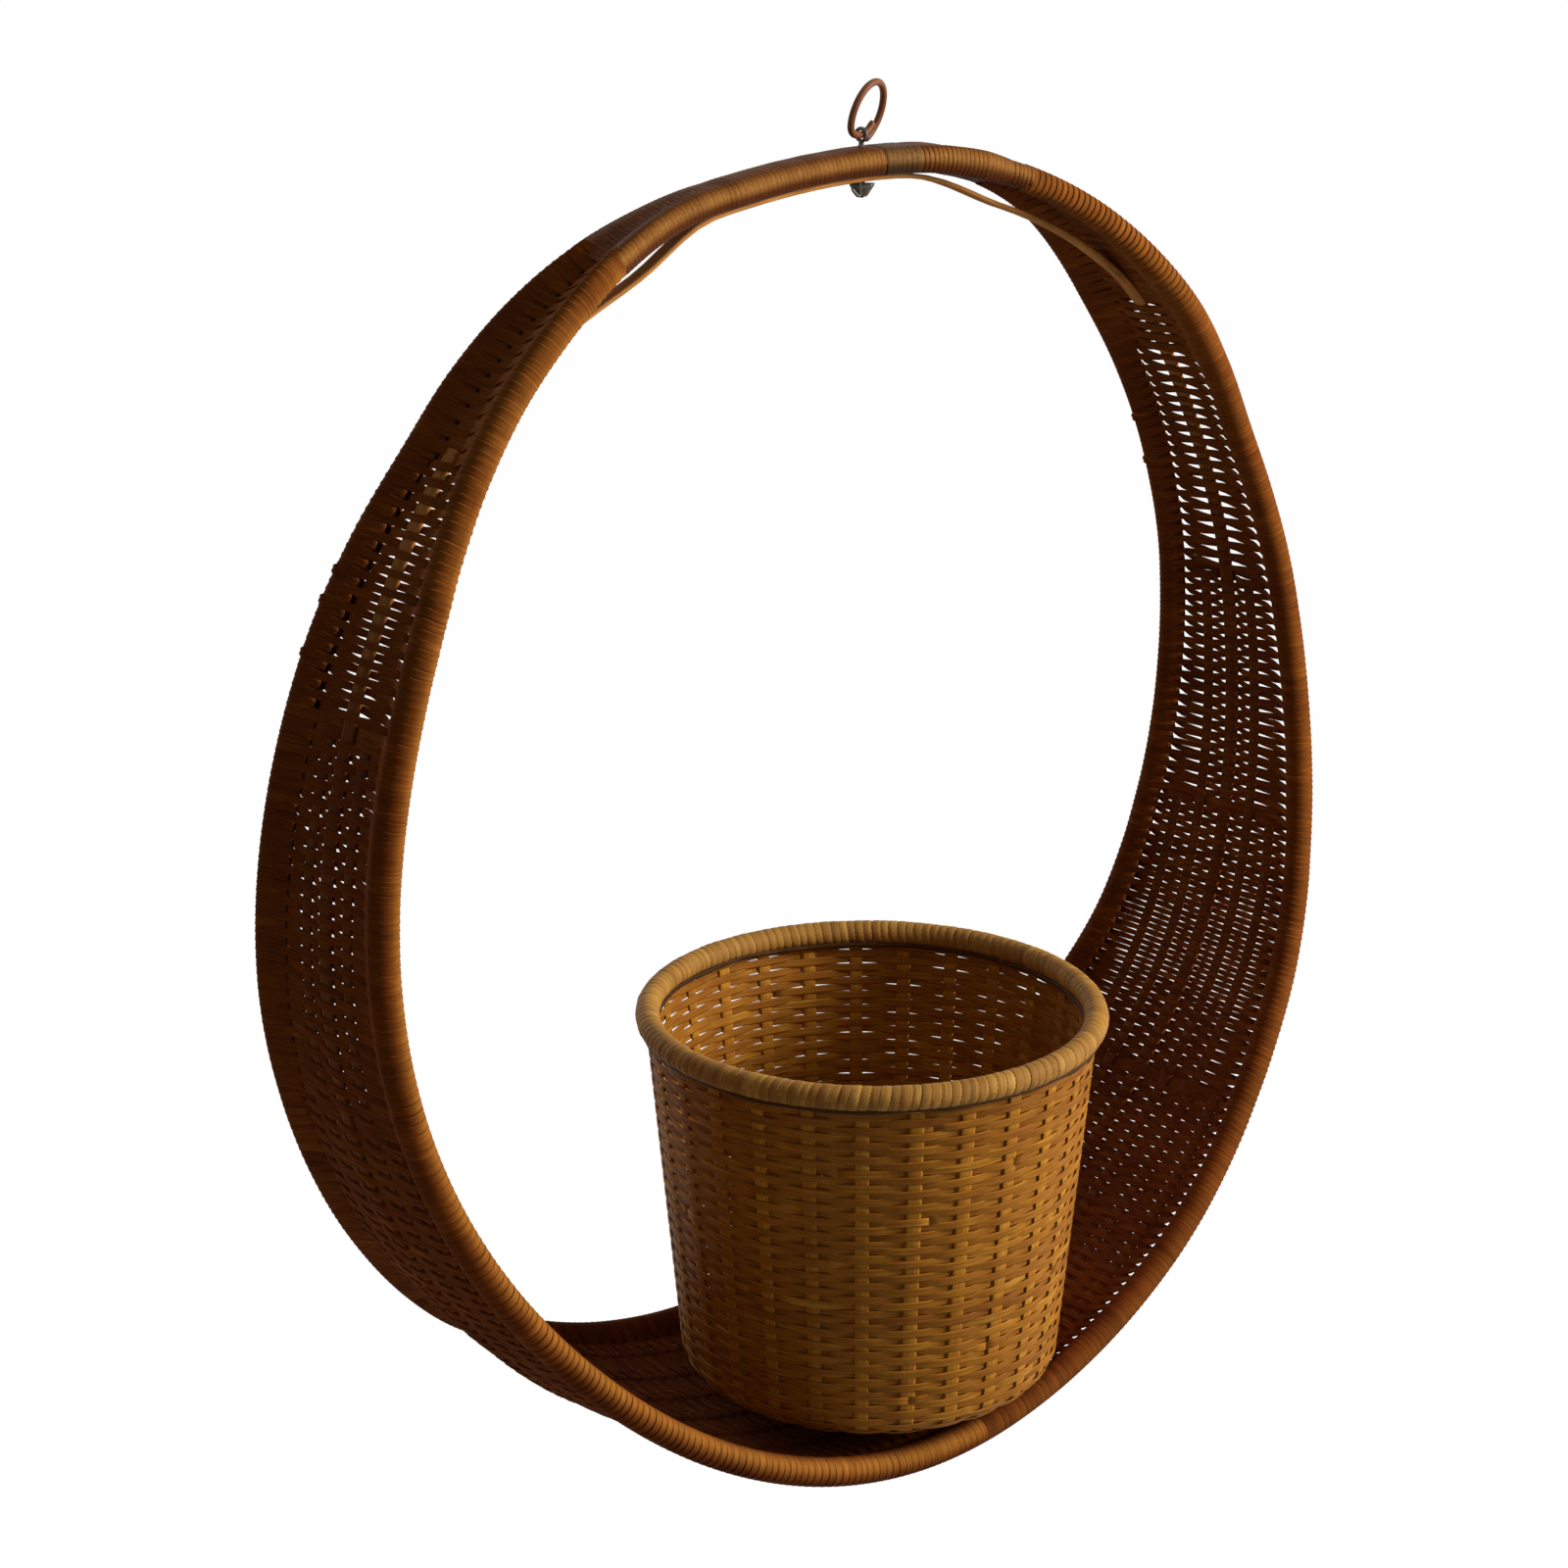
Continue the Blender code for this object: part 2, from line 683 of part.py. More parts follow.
def floor_level(x, y):
    """Height of the woven floor, or of the strands round its rims, under a point in the world."""
    top = -math.inf
    for i in range(station_count // 4, 3 * station_count // 4):
        here, there = i * station_step, (i + 1) * station_step
        _, _, half, tall, *_ = at(here)
        round_reach = tall + seat_gap + strand_wrap
        aside = abs(abs(y - hoop_y) - half)
        out = web_thickness / 2
        if aside < round_reach:
            out = max(out, math.sqrt(round_reach ** 2 - aside ** 2))
        elif abs(y - hoop_y) > half:
            continue
        p, q = (hoop_to_world(spot(a, y - hoop_y, sag(a, y - hoop_y) - out)) for a in (here, there))
        if min(p.x, q.x) <= x < max(p.x, q.x):
            top = max(top, p.z + (q.z - p.z) * (x - p.x) / (q.x - p.x))
    return top


hoop_y = hoop_to_world(Vector((0, 0, 0))).y


def seated_level():
    """Drop the basket on the floor of the hoop until its base touches."""
    height = -math.inf
    for r, z, nr, nz in profile:
        if nz < -slack:
            for k in range(seat_samples):
                a = math.tau * k / seat_samples
                x = basket_x + (r + nr * stake_proud) * math.cos(a)
                y = hoop_y + basket_y + (r + nr * stake_proud) * math.sin(a)
                height = max(height, floor_level(x, y) + seat_gap - (z + nz * stake_proud))
    return height


basket = empty("basket", (basket_x, hoop_y + basket_y, seated_level()), holder)


def round_spot(place, angle, depth):
    r, z, nr, nz = place
    reach = r - nr * depth
    return Vector((reach * math.cos(angle), reach * math.sin(angle), z - nz * depth))


# Basket wall: a woven shell with a groove down its outside for each stake

groove = stake_thickness + seat_gap - stake_proud
edge_angles = [k * bay + side * half_stake_angle for k in range(stake_count) for side in (-1, 1)]


def wall_section(place):
    outer = []
    for k in range(stake_count):
        low, high = k * bay - half_stake_angle, k * bay + half_stake_angle
        outer += [round_spot(place, low, 0.0), round_spot(place, low, groove),
                  round_spot(place, high, groove), round_spot(place, high, 0.0)]
    inner = [round_spot(place, a, basket_wall) for a in edge_angles]
    return [outer, inner]


def wall_caps():
    caps = []
    first_inner = 4 * stake_count
    for k in range(stake_count):
        a, b, c, d = (4 * k + i for i in range(4))
        e, f = first_inner + 2 * k, first_inner + 2 * k + 1
        next_a = (4 * k + 4) % first_inner
        next_e = first_inner + (2 * k + 2) % (2 * stake_count)
        caps += [(a, b, e), (b, c, f, e), (c, d, f), (d, next_a, next_e, f)]
    return caps


loft("basket_wall", [wall_section(p) for p in profile], honey_cane, basket, wall_caps())


# Stakes

def stake_section(place, middle):
    half = stake_width / 2
    turned = half / max(place[0], basket_base_radius)
    back = stake_thickness - stake_proud
    loop = [round_spot(place, middle - turned, back), round_spot(place, middle + turned, back),
            round_spot(place, middle + turned, -stake_proud), round_spot(place, middle - turned, -stake_proud)]
    return [loop]


for k in range(stake_count):
    loft(f"stake_{k + 1:02d}", [stake_section(p, k * bay) for p in profile], stake_cane, basket, [(0, 1, 2, 3)])


# Base: a woven disc that lies on the lip, with a raised middle

def ring_of(radius, height):
    return [Vector((radius * math.cos(a), radius * math.sin(a), height)) for a in edge_angles]


base_radius = basket_base_radius - basket_corner - seat_gap
base_low = basket_wall + seat_gap
base_high = base_low + base_thickness
base_profile = ((base_radius, base_low), (base_radius, base_high), (hub_radius, base_high),
                (hub_radius - hub_rise, base_high + hub_rise))
loft("basket_base", [[ring_of(r, z)] for r, z in base_profile], honey_cane, basket,
     [tuple(range(2 * stake_count))])


# Rim: a cane hoop on the wall's edge, bound all round, open below for the wall

rim_middle_radius = basket_top_radius - basket_wall / 2 + stake_proud / 2
slot_half = (basket_wall + stake_proud) / 2 + slot_gap
rim_outer_points = 8
rim_inner_points = 6
rim_bore = rim_radius - rim_strand
bore_side = (math.tau - 2 * math.asin(slot_half / rim_bore)) / (rim_inner_points - 1)
core_height = basket_height + seat_gap + rim_core_radius
rim_height = core_height + rim_core_radius + seat_gap - rim_bore * math.cos(bore_side / 2)


def rim_loop(angle):
    outer, inner = [], []
    for reach, count, points in ((rim_radius, rim_outer_points, outer), (rim_bore, rim_inner_points, inner)):
        opening = math.asin(slot_half / reach)
        for i in range(count):
            a = -math.pi / 2 + opening + (math.tau - 2 * opening) * i / (count - 1)
            points.append((rim_middle_radius + reach * math.cos(a), rim_height + reach * math.sin(a)))
    return [Vector((r * math.cos(angle), r * math.sin(angle), z)) for r, z in outer + list(reversed(inner))]


loft("rim_binding", [[rim_loop(a)] for a in edge_angles], rim_cane, basket)

core_sides = 6


def core_loop(angle):
    points = []
    for i in range(core_sides):
        a = math.tau * i / core_sides
        r = rim_middle_radius + rim_core_radius * math.cos(a)
        points.append(Vector((r * math.cos(angle), r * math.sin(angle), core_height + rim_core_radius * math.sin(a))))
    return points


loft("rim_core", [[core_loop(a)] for a in edge_angles], pole_cane, basket)

bpy.context.view_layer.update()
for label, point in (("hinge", hoop_to_world(hanger_point(0.0, 0.0, eye_height))),
                     ("hoop centre", hoop_to_world(Vector((0, 0, 0)))),
                     ("basket", basket.location)):
    print(label, [round(v, 6) for v in point])
print("hinge axis", [round(v, 6) for v in hoop_turn @ hinge_along])
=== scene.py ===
import math
import random
import json

import bpy
import numpy as np
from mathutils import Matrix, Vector

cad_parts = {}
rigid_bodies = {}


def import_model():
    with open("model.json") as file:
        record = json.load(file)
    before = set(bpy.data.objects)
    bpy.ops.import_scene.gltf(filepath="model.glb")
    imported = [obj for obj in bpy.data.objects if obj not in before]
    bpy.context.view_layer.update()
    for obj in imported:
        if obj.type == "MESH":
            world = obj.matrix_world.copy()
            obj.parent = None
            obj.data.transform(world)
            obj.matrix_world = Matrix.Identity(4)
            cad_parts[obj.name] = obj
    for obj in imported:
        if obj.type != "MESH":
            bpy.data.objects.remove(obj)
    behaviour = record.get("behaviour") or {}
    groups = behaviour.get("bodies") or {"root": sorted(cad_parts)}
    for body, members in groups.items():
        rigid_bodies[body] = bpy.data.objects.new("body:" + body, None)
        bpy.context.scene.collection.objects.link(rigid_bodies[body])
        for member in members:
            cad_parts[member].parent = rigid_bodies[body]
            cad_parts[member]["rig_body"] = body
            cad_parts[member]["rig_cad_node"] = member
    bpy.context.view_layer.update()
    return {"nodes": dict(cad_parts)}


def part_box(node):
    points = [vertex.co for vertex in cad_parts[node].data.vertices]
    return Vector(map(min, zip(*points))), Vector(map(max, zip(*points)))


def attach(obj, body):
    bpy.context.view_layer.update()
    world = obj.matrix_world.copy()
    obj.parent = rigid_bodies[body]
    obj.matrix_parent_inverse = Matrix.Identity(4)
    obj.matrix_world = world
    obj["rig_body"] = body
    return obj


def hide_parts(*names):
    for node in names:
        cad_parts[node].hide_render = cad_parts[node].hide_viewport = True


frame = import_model()
nodes = frame["nodes"]
mm = 0.001
bpy.ops.object.select_all(action="DESELECT")
random.seed(11)
noiseTable = np.random.default_rng(7).uniform(-1, 1, 4096)


def smoothNoise(place, row=0):
    # gentle wander from -1 to 1 along a place, another one for each row
    place = np.asarray(place, float) + 1000
    low = np.floor(place).astype(int)
    t = place - low
    t = t * t * (3 - 2 * t)
    a = noiseTable[(low * 7 + row * 131) % len(noiseTable)]
    b = noiseTable[((low + 1) * 7 + row * 131) % len(noiseTable)]
    return a + (b - a) * t


# shader maths: an expression on values adds its own Math nodes

class Value:
    def __init__(self, finish, socket):
        self.finish, self.socket = finish, socket

    def combine(self, operation, first, second):
        return self.finish.node("Math", {"operation": operation}, {0: first, 1: second})

    def __add__(self, other):
        return self.combine("ADD", self, other)

    __radd__ = __add__

    def __sub__(self, other):
        return self.combine("SUBTRACT", self, other)

    def __rsub__(self, other):
        return self.combine("SUBTRACT", other, self)

    def __mul__(self, other):
        return self.combine("MULTIPLY", self, other)

    __rmul__ = __mul__

    def limit(self):
        return self.finish.node("Clamp", {}, {0: self})


class Finish:
    # the nodes of a material or of the world
    def __init__(self, owner):
        self.owner = owner
        owner.use_nodes = True
        self.tree = owner.node_tree
        self.tree.nodes.clear()

    def node(self, kind, settings, inputs, output=0):
        made = self.tree.nodes.new("ShaderNode" + kind)
        for key, value in settings.items():
            setattr(made, key, value)
        for key, value in inputs.items():
            if isinstance(value, Value):
                self.tree.links.new(value.socket, made.inputs[key])
            else:
                made.inputs[key].default_value = value
        return Value(self, made.outputs[output])

    def mix(self, factor, first, second):
        first, second = (c if isinstance(c, Value) else (*c, 1) for c in (first, second))
        return self.node("Mix", {"data_type": "RGBA"}, {0: factor, 6: first, 7: second}, 2)

    def noise(self, vector, scale, detail=2.0, roughness=0.5):
        return self.node("TexNoise", {}, {"Vector": vector, "Scale": scale, "Detail": detail,
                                          "Roughness": roughness})

    def attribute(self, name):
        return self.node("Attribute", {"attribute_name": name}, {}, 2)

    def stretched(self, vector, scale, offset):
        longer = self.node("Mapping", {}, {"Vector": vector, "Scale": scale})
        return self.node("VectorMath", {"operation": "ADD"}, {0: longer, 1: offset})

    def spread(self, value, low, high):
        return self.node("MapRange", {}, {"Value": value, "From Min": low, "From Max": high})

    def close(self, shader, kind="OutputMaterial"):
        out = self.tree.nodes.new("ShaderNode" + kind)
        self.tree.links.new(shader.socket, out.inputs["Surface"])
        return self.owner


# canes: streaks run along each strand, tone differs from strand to strand

# the worn colours stand for wear, and on the hoop's rims and the crown also for a painted highlight
canes = {
    "hoop_weave": dict(dark=(0.085, 0.018, 0.0030), mid=(0.260, 0.062, 0.0080), light=(0.360, 0.120, 0.016),
                       wornAndHighlight=(0.52, 0.20, 0.030), rough=0.72, gloss=0.03, bump=0.25),
    "wrapped_strand": dict(dark=(0.090, 0.020, 0.0025), mid=(0.310, 0.110, 0.016), light=(0.44, 0.19, 0.035),
                           wornAndHighlight=(0.50, 0.215, 0.030), rough=0.52, gloss=0.07, bump=0.25),
    "dark_strand": dict(dark=(0.050, 0.020, 0.005), mid=(0.230, 0.098, 0.018), light=(0.34, 0.16, 0.038),
                        wornAndHighlight=(0.39, 0.175, 0.032), rough=0.50, gloss=0.08, bump=0.2),
    "flat_lath": dict(dark=(0.080, 0.018, 0.003), mid=(0.210, 0.058, 0.010), light=(0.36, 0.14, 0.030),
                      wornAndHighlight=(0.62, 0.255, 0.060), rough=0.68, gloss=0.05, bump=0.3),
    "rattan_pole": dict(dark=(0.05, 0.018, 0.005), mid=(0.16, 0.060, 0.015), light=(0.26, 0.11, 0.03),
                        wornAndHighlight=(0.30, 0.14, 0.05), rough=0.55, gloss=0.1, bump=0.2),
    "ring_cane": dict(dark=(0.150, 0.042, 0.012), mid=(0.420, 0.150, 0.040), light=(0.54, 0.24, 0.075),
                      wornAndHighlight=(0.60, 0.30, 0.10), rough=0.42, gloss=0.2, bump=0.3),
    "basket_weave": dict(dark=(0.170, 0.042, 0.003), mid=(0.500, 0.195, 0.014), light=(0.74, 0.40, 0.050),
                         wornAndHighlight=(0.70, 0.38, 0.08), rough=0.50, gloss=0.10, bump=0.25),
    "basket_stake": dict(dark=(0.270, 0.080, 0.006), mid=(0.590, 0.250, 0.018), light=(0.74, 0.40, 0.045),
                         wornAndHighlight=(0.70, 0.38, 0.07), rough=0.48, gloss=0.10, bump=0.3),
    "basket_rim": dict(dark=(0.190, 0.062, 0.010), mid=(0.500, 0.235, 0.035), light=(0.64, 0.36, 0.085),
                       wornAndHighlight=(0.70, 0.42, 0.12), rough=0.52, gloss=0.08, bump=0.3),
}
grain = {"fibreScale": (0.35, 14.0, 1.0), "fibreDetail": (1.0, 3.0, 0.6), "fibreRange": (0.32, 0.70),
         "blotchScale": (0.6, 0.5, 1.0), "blotchRange": (0.30, 0.72),
         "stainDetail": (28.0, 3.0, 0.6), "stainRange": (0.50, 0.75), "stainShare": 0.35,
         "fibreShare": 0.45, "blotchShare": 0.30, "toneShare": 0.55, "dim": 0.15,
         "lightFrom": 0.62, "lightGain": 1.6, "wearAndHighlightRange": (0.55, 1.25),
         "toneOffsets": (37.0, 11.0, 53.0), "roughSpread": 0.16, "bumpDepth": 0.4 * mm}


def caneFinish(name, look):
    f = Finish(bpy.data.materials.new(name))
    along = f.node("UVMap", {}, {})
    place = f.node("TexCoord", {}, {}, 3)
    tone, wearAndHighlight = f.attribute("tone"), f.attribute("wearAndHighlight")
    offset = f.node("CombineXYZ", {}, {k: tone * step for k, step in enumerate(grain["toneOffsets"])})
    fibre = f.noise(f.stretched(along, grain["fibreScale"], offset), *grain["fibreDetail"])
    blotch = f.noise(f.stretched(along, grain["blotchScale"], offset), 1.0)
    stain = f.noise(place, *grain["stainDetail"])
    lightness = (f.spread(fibre, *grain["fibreRange"]) * grain["fibreShare"]
                 + f.spread(blotch, *grain["blotchRange"]) * grain["blotchShare"]
                 + tone * grain["toneShare"] - grain["dim"])
    body = f.mix((1 - lightness).limit(), look["mid"], look["dark"])
    body = f.mix((lightness - grain["lightFrom"]).limit() * grain["lightGain"], body, look["light"])
    # worn colour laid where the strand is worn, and where a painted highlight is set on the hoop's rims and
    # crown
    body = f.mix((wearAndHighlight * f.spread(fibre + stain, *grain["wearAndHighlightRange"])).limit(), body, look["wornAndHighlight"])
    body = f.mix(f.spread(stain, *grain["stainRange"]) * grain["stainShare"], body, look["dark"])
    roughness = look["rough"] + (1 - fibre) * grain["roughSpread"]
    bump = f.node("Bump", {}, {"Strength": look["bump"], "Distance": grain["bumpDepth"], "Height": fibre})
    return f.close(f.node("BsdfPrincipled", {}, {"Base Color": body, "Roughness": roughness, "Normal": bump,
                                                 "Specular IOR Level": look["gloss"]}))


wireLook = {"steel": (0.085, 0.080, 0.062), "rust": (0.07, 0.036, 0.018), "rough": 0.50, "rustRough": 0.3,
            "metal": 0.8, "rustDull": 0.6, "rustDetail": (260.0, 4.0, 0.65), "rustRange": (0.46, 0.62),
            "bump": 0.2, "bumpDepth": 0.1 * mm}


def wireFinish(name, look):
    f = Finish(bpy.data.materials.new(name))
    place = f.node("TexCoord", {}, {}, 3)
    rust = f.spread(f.noise(place, *look["rustDetail"]), *look["rustRange"])
    colour = f.mix(rust, look["steel"], look["rust"])
    bump = f.node("Bump", {}, {"Strength": look["bump"], "Distance": look["bumpDepth"], "Height": rust})
    return f.close(f.node("BsdfPrincipled", {}, {
        "Base Color": colour, "Metallic": look["metal"] - rust * look["rustDull"],
        "Roughness": look["rough"] + rust * look["rustRough"], "Normal": bump}))


finishes = {name: caneFinish(name, look) for name, look in canes.items()}
finishes["iron_wire"] = wireFinish("iron_wire", wireLook)
print("finishes:", len(finishes))


# strands: a section carried along a path

flatSection = [(1, 0), (0.72, 0.78), (0, 1), (-0.72, 0.78), (-1, 0), (-0.72, -0.78), (0, -1), (0.72, -0.78)]
pairSection = [(1, 0), (0.80, 0.72), (0.45, 0.98), (0, 0.30), (-0.45, 0.98), (-0.80, 0.72),
               (-1, 0), (-0.80, -0.72), (-0.45, -0.98), (0, -0.30), (0.45, -0.98), (0.80, -0.72)]
bladeSection = [(1, 0.25), (0.93, 0.9), (0.5, 1), (-0.5, 1), (-0.93, 0.9), (-1, 0.25),
                (-1, -0.35), (-0.80, -0.85), (0, -1), (0.80, -0.85), (1, -0.35)]
uvLength = 10 * mm        # one unit of the map that runs along a strand


def unit(vectors):
    return vectors / np.maximum(np.linalg.norm(vectors, axis=-1, keepdims=True), 1e-12)


def strandMesh(name, strands, section, slotName, body, replaced=(), closed=False):
    # each strand: points, direction of its width, width, thickness, tone, wear and painted highlight
    shape = np.array(section, float)
    sides = len(shape)
    spots, quads, caps, uvs, tones, wearAndHighlightValues = [], [], [], [], [], []
    first = 0
    for strand in strands:
        points = np.asarray(strand["points"], float)
        count = len(points)
        if closed:
            run = np.roll(points, -1, 0) - np.roll(points, 1, 0)
        else:
            run = np.gradient(points, axis=0)
        run = unit(run)
        wide = np.broadcast_to(strand["across"], points.shape)
        wide = unit(wide - run * np.sum(wide * run, 1, keepdims=True))
        thick = np.cross(run, wide)
        width = np.broadcast_to(strand["width"], count)[:, None, None] / 2
        depth = np.broadcast_to(strand["thick"], count)[:, None, None] / 2
        ring = (points[:, None] + wide[:, None] * shape[None, :, :1] * width
                + thick[:, None] * shape[None, :, 1:] * depth)
        spots.append(ring.reshape(-1, 3))
        steps = count if closed else count - 1
        i, j = np.meshgrid(np.arange(steps), np.arange(sides), indexing="ij")
        i, j = i.ravel(), j.ravel()
        iNext, jNext = (i + 1) % count, (j + 1) % sides
        corners = [i * sides + j, i * sides + jNext, iNext * sides + jNext, iNext * sides + j]
        quads.append(first + np.stack(corners, 1))
        length = np.linalg.norm(np.diff(points, axis=0), axis=1)
        length = np.concatenate([[0], np.cumsum(length)]) / uvLength
        if closed:
            length = np.append(length, length[-1] + np.linalg.norm(points[0] - points[-1]) / uvLength)
        near, far = length[i], length[i + 1]
        low, high = j / sides, (j + 1) / sides
        corners = [np.stack(pair, 1) for pair in ((near, low), (near, high), (far, high), (far, low))]
        uvs.append(np.stack(corners, 1).reshape(-1, 2))
        if not closed:
            caps.append([first + k for k in reversed(range(sides))])
            caps.append([first + (count - 1) * sides + k for k in range(sides)])
        tones.append(np.repeat(np.broadcast_to(strand["tone"], count), sides))
        wearAndHighlightValues.append(np.repeat(np.broadcast_to(strand.get("wearAndHighlight", 0.0), count), sides))
        first += count * sides
    mesh = bpy.data.meshes.new(name)
    mesh.from_pydata(np.concatenate(spots), [], np.concatenate(quads).tolist() + caps)
    layer = mesh.uv_layers.new(name="along")
    flat = np.concatenate(uvs + [np.full((len(caps) * sides, 2), 0.5)])
    layer.data.foreach_set("uv", flat.astype(np.float32).ravel())
    for label, values in (("tone", tones), ("wearAndHighlight", wearAndHighlightValues)):
        kept = mesh.attributes.new(label, "FLOAT", "POINT")
        kept.data.foreach_set("value", np.concatenate(values).astype(np.float32))
    mesh.shade_smooth()
    mesh.materials.append(finishes[slotName])
    piece = bpy.data.objects.new(name, mesh)
    bpy.context.scene.collection.objects.link(piece)
    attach(piece, body)
    if replaced:
        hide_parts(*replaced)
    return piece


# the hoop's lines, read from the frame: 48 rings of 8 corners on each rim pole

stationCount = 48
crownHalf = 3             # stations from the crown's left end to its top


def nodeCorners(node):
    spots = np.array([v.co for v in nodes[node].data.vertices])
    return np.unique(np.round(spots, 6), axis=0)


def poleRings(node):
    spots = nodeCorners(node)
    middle = (spots.min(0) + spots.max(0)) / 2
    angle = np.arctan2(spots[:, 0] - middle[0], spots[:, 2] - middle[2])
    order = np.argsort(angle)
    gaps = np.diff(np.append(angle[order], angle[order[0]] + math.tau)) > math.radians(2)
    start = int(np.nonzero(gaps)[0][0]) + 1
    order = np.roll(order, -start)
    label = np.concatenate([[0], np.cumsum(np.roll(gaps, -start)[:-1])])
    return [spots[order[label == k]] for k in range(stationCount)]


frontRings, rearRings = poleRings("front_rim"), poleRings("rear_rim")
frontLine = np.array([r.mean(0) for r in frontRings])
rearLine = np.array([r.mean(0) for r in rearRings])
poleWide = np.array([np.ptp(r[:, 1]) / 2 for r in rearRings])
poleTall = np.array([max(np.linalg.norm((r - m)[:, ::2], axis=1)) for r, m in zip(rearRings, rearLine)])
midLine, halfLine = (frontLine + rearLine) / 2, (rearLine - frontLine) / 2
crownEnd = nodeCorners("crown_binding_left")
crownEnd = crownEnd[crownEnd[:, 0] < crownEnd[:, 0].min() + 2 * mm].mean(0)
top = int(np.argmin(np.linalg.norm((midLine - crownEnd)[:, ::2], axis=1))) + crownHalf
midLine, halfLine = np.roll(midLine, -top, 0), np.roll(halfLine, -top, 0)
poleWide, poleTall = np.roll(poleWide, -top, 0), np.roll(poleTall, -top, 0)
halfWidth = halfLine[:, 1]
stretch = np.linalg.norm(np.roll(midLine, -1, 0) - midLine, axis=1)


def blendAt(table, place):
    # smooth value between the stations
    place = np.asarray(place, float)
    low = np.floor(place).astype(int)
    t = place - low
    if np.ndim(table) > 1:
        t = t[..., None]
    a, b, c, d = (np.take(table, (low + k) % stationCount, axis=0) for k in (-1, 0, 1, 2))
    return b + 0.5 * t * (c - a + t * (2 * a - 5 * b + 4 * c - d + t * (3 * (b - c) + d - a)))


def bandAt(place):
    # middle, run, outward normal
    middle = blendAt(midLine, place)
    run = unit(blendAt(midLine, np.asarray(place) + 0.02) - blendAt(midLine, np.asarray(place) - 0.02))
    return middle, run, np.cross(run, [0.0, 1.0, 0.0])


def poleSizes(place):
    # the band's half width, and how wide and tall a pole is
    return (blendAt(table, place) for table in (halfWidth, poleWide, poleTall))


def slices(node, places, thin=1.0 * mm, most=60 * mm):
    # across and outward places of a node's corners, at each station that it passes
    spots = nodeCorners(node)
    found = {}
    for place in places:
        middle, run, out = bandAt(place)
        off = spots - middle
        near = (abs(off @ run) < thin) & (abs(off @ out) < most)
        if near.sum() >= 4:
            found[place] = (off[near, 1], off[near] @ out)
    return found


def centred(place):
    return (place + stationCount / 2) % stationCount - stationCount / 2


def ramp(value, start, end):
    return min(max((value - start) / (end - start), 0), 1)


# the middle lath's place shows how far the web hangs out between its rims
stations = [float(i) for i in range(stationCount)]
lathCut = slices("centre_lath", stations + [i + 0.5 for i in range(-6, 6)])
lathPlaces = np.array(sorted(centred(p) for p in lathCut))
lathEdges = [lathCut[k][1] for k in sorted(lathCut, key=centred)]
lathOuts = np.array([np.mean([edge.min(), edge.max()]) for edge in lathEdges])


def lathOut(place):
    return float(np.interp(centred(place), lathPlaces, lathOuts, period=stationCount))


# the lath enters the weave at this station, and rests at this height in it
web = {"entry": 6.0, "lathRest": lathOut(11.0), "rootGap": 0.8 * mm}
ribInnerStart = {1: 10.5, -1: 9.25}
ribs = {}
for level in ("outer", "middle", "inner"):
    cut = slices(f"{level}_rib_rear", stations)
    spots = sorted(cut)
    starts = ribInnerStart if level == "inner" else {1: min(spots), -1: min(spots)}
    ribs[level] = dict(start=starts, places=np.array(spots), out=-0.25 * mm,
                       across=np.array([(cut[p][0].min() + cut[p][0].max()) / 2 for p in spots]))
print("hoop:", round(float(stretch.sum()), 4), "m round its middle, top at station", top)


def ribAcross(level, place):
    rib = ribs[level]
    folded = max(abs(centred(place)), rib["places"][0])
    return float(np.interp(folded, rib["places"], rib["across"]))


def webOut(place, across):
    # rest place of the web: it hangs out between the rims
    half, wide = float(blendAt(halfWidth, place)), float(blendAt(poleWide, place))
    deepest = lathOut(place) - web["lathRest"] if abs(centred(place)) > web["entry"] else 0.0
    return deepest * np.clip(1 - (across / (half - wide - web["rootGap"])) ** 2, 0, 1)


# woven band: each row is a pair of thin canes, over one rib and under the next, wrapped round both rims
# places are stations from the top; 1 is the right half and -1 the left

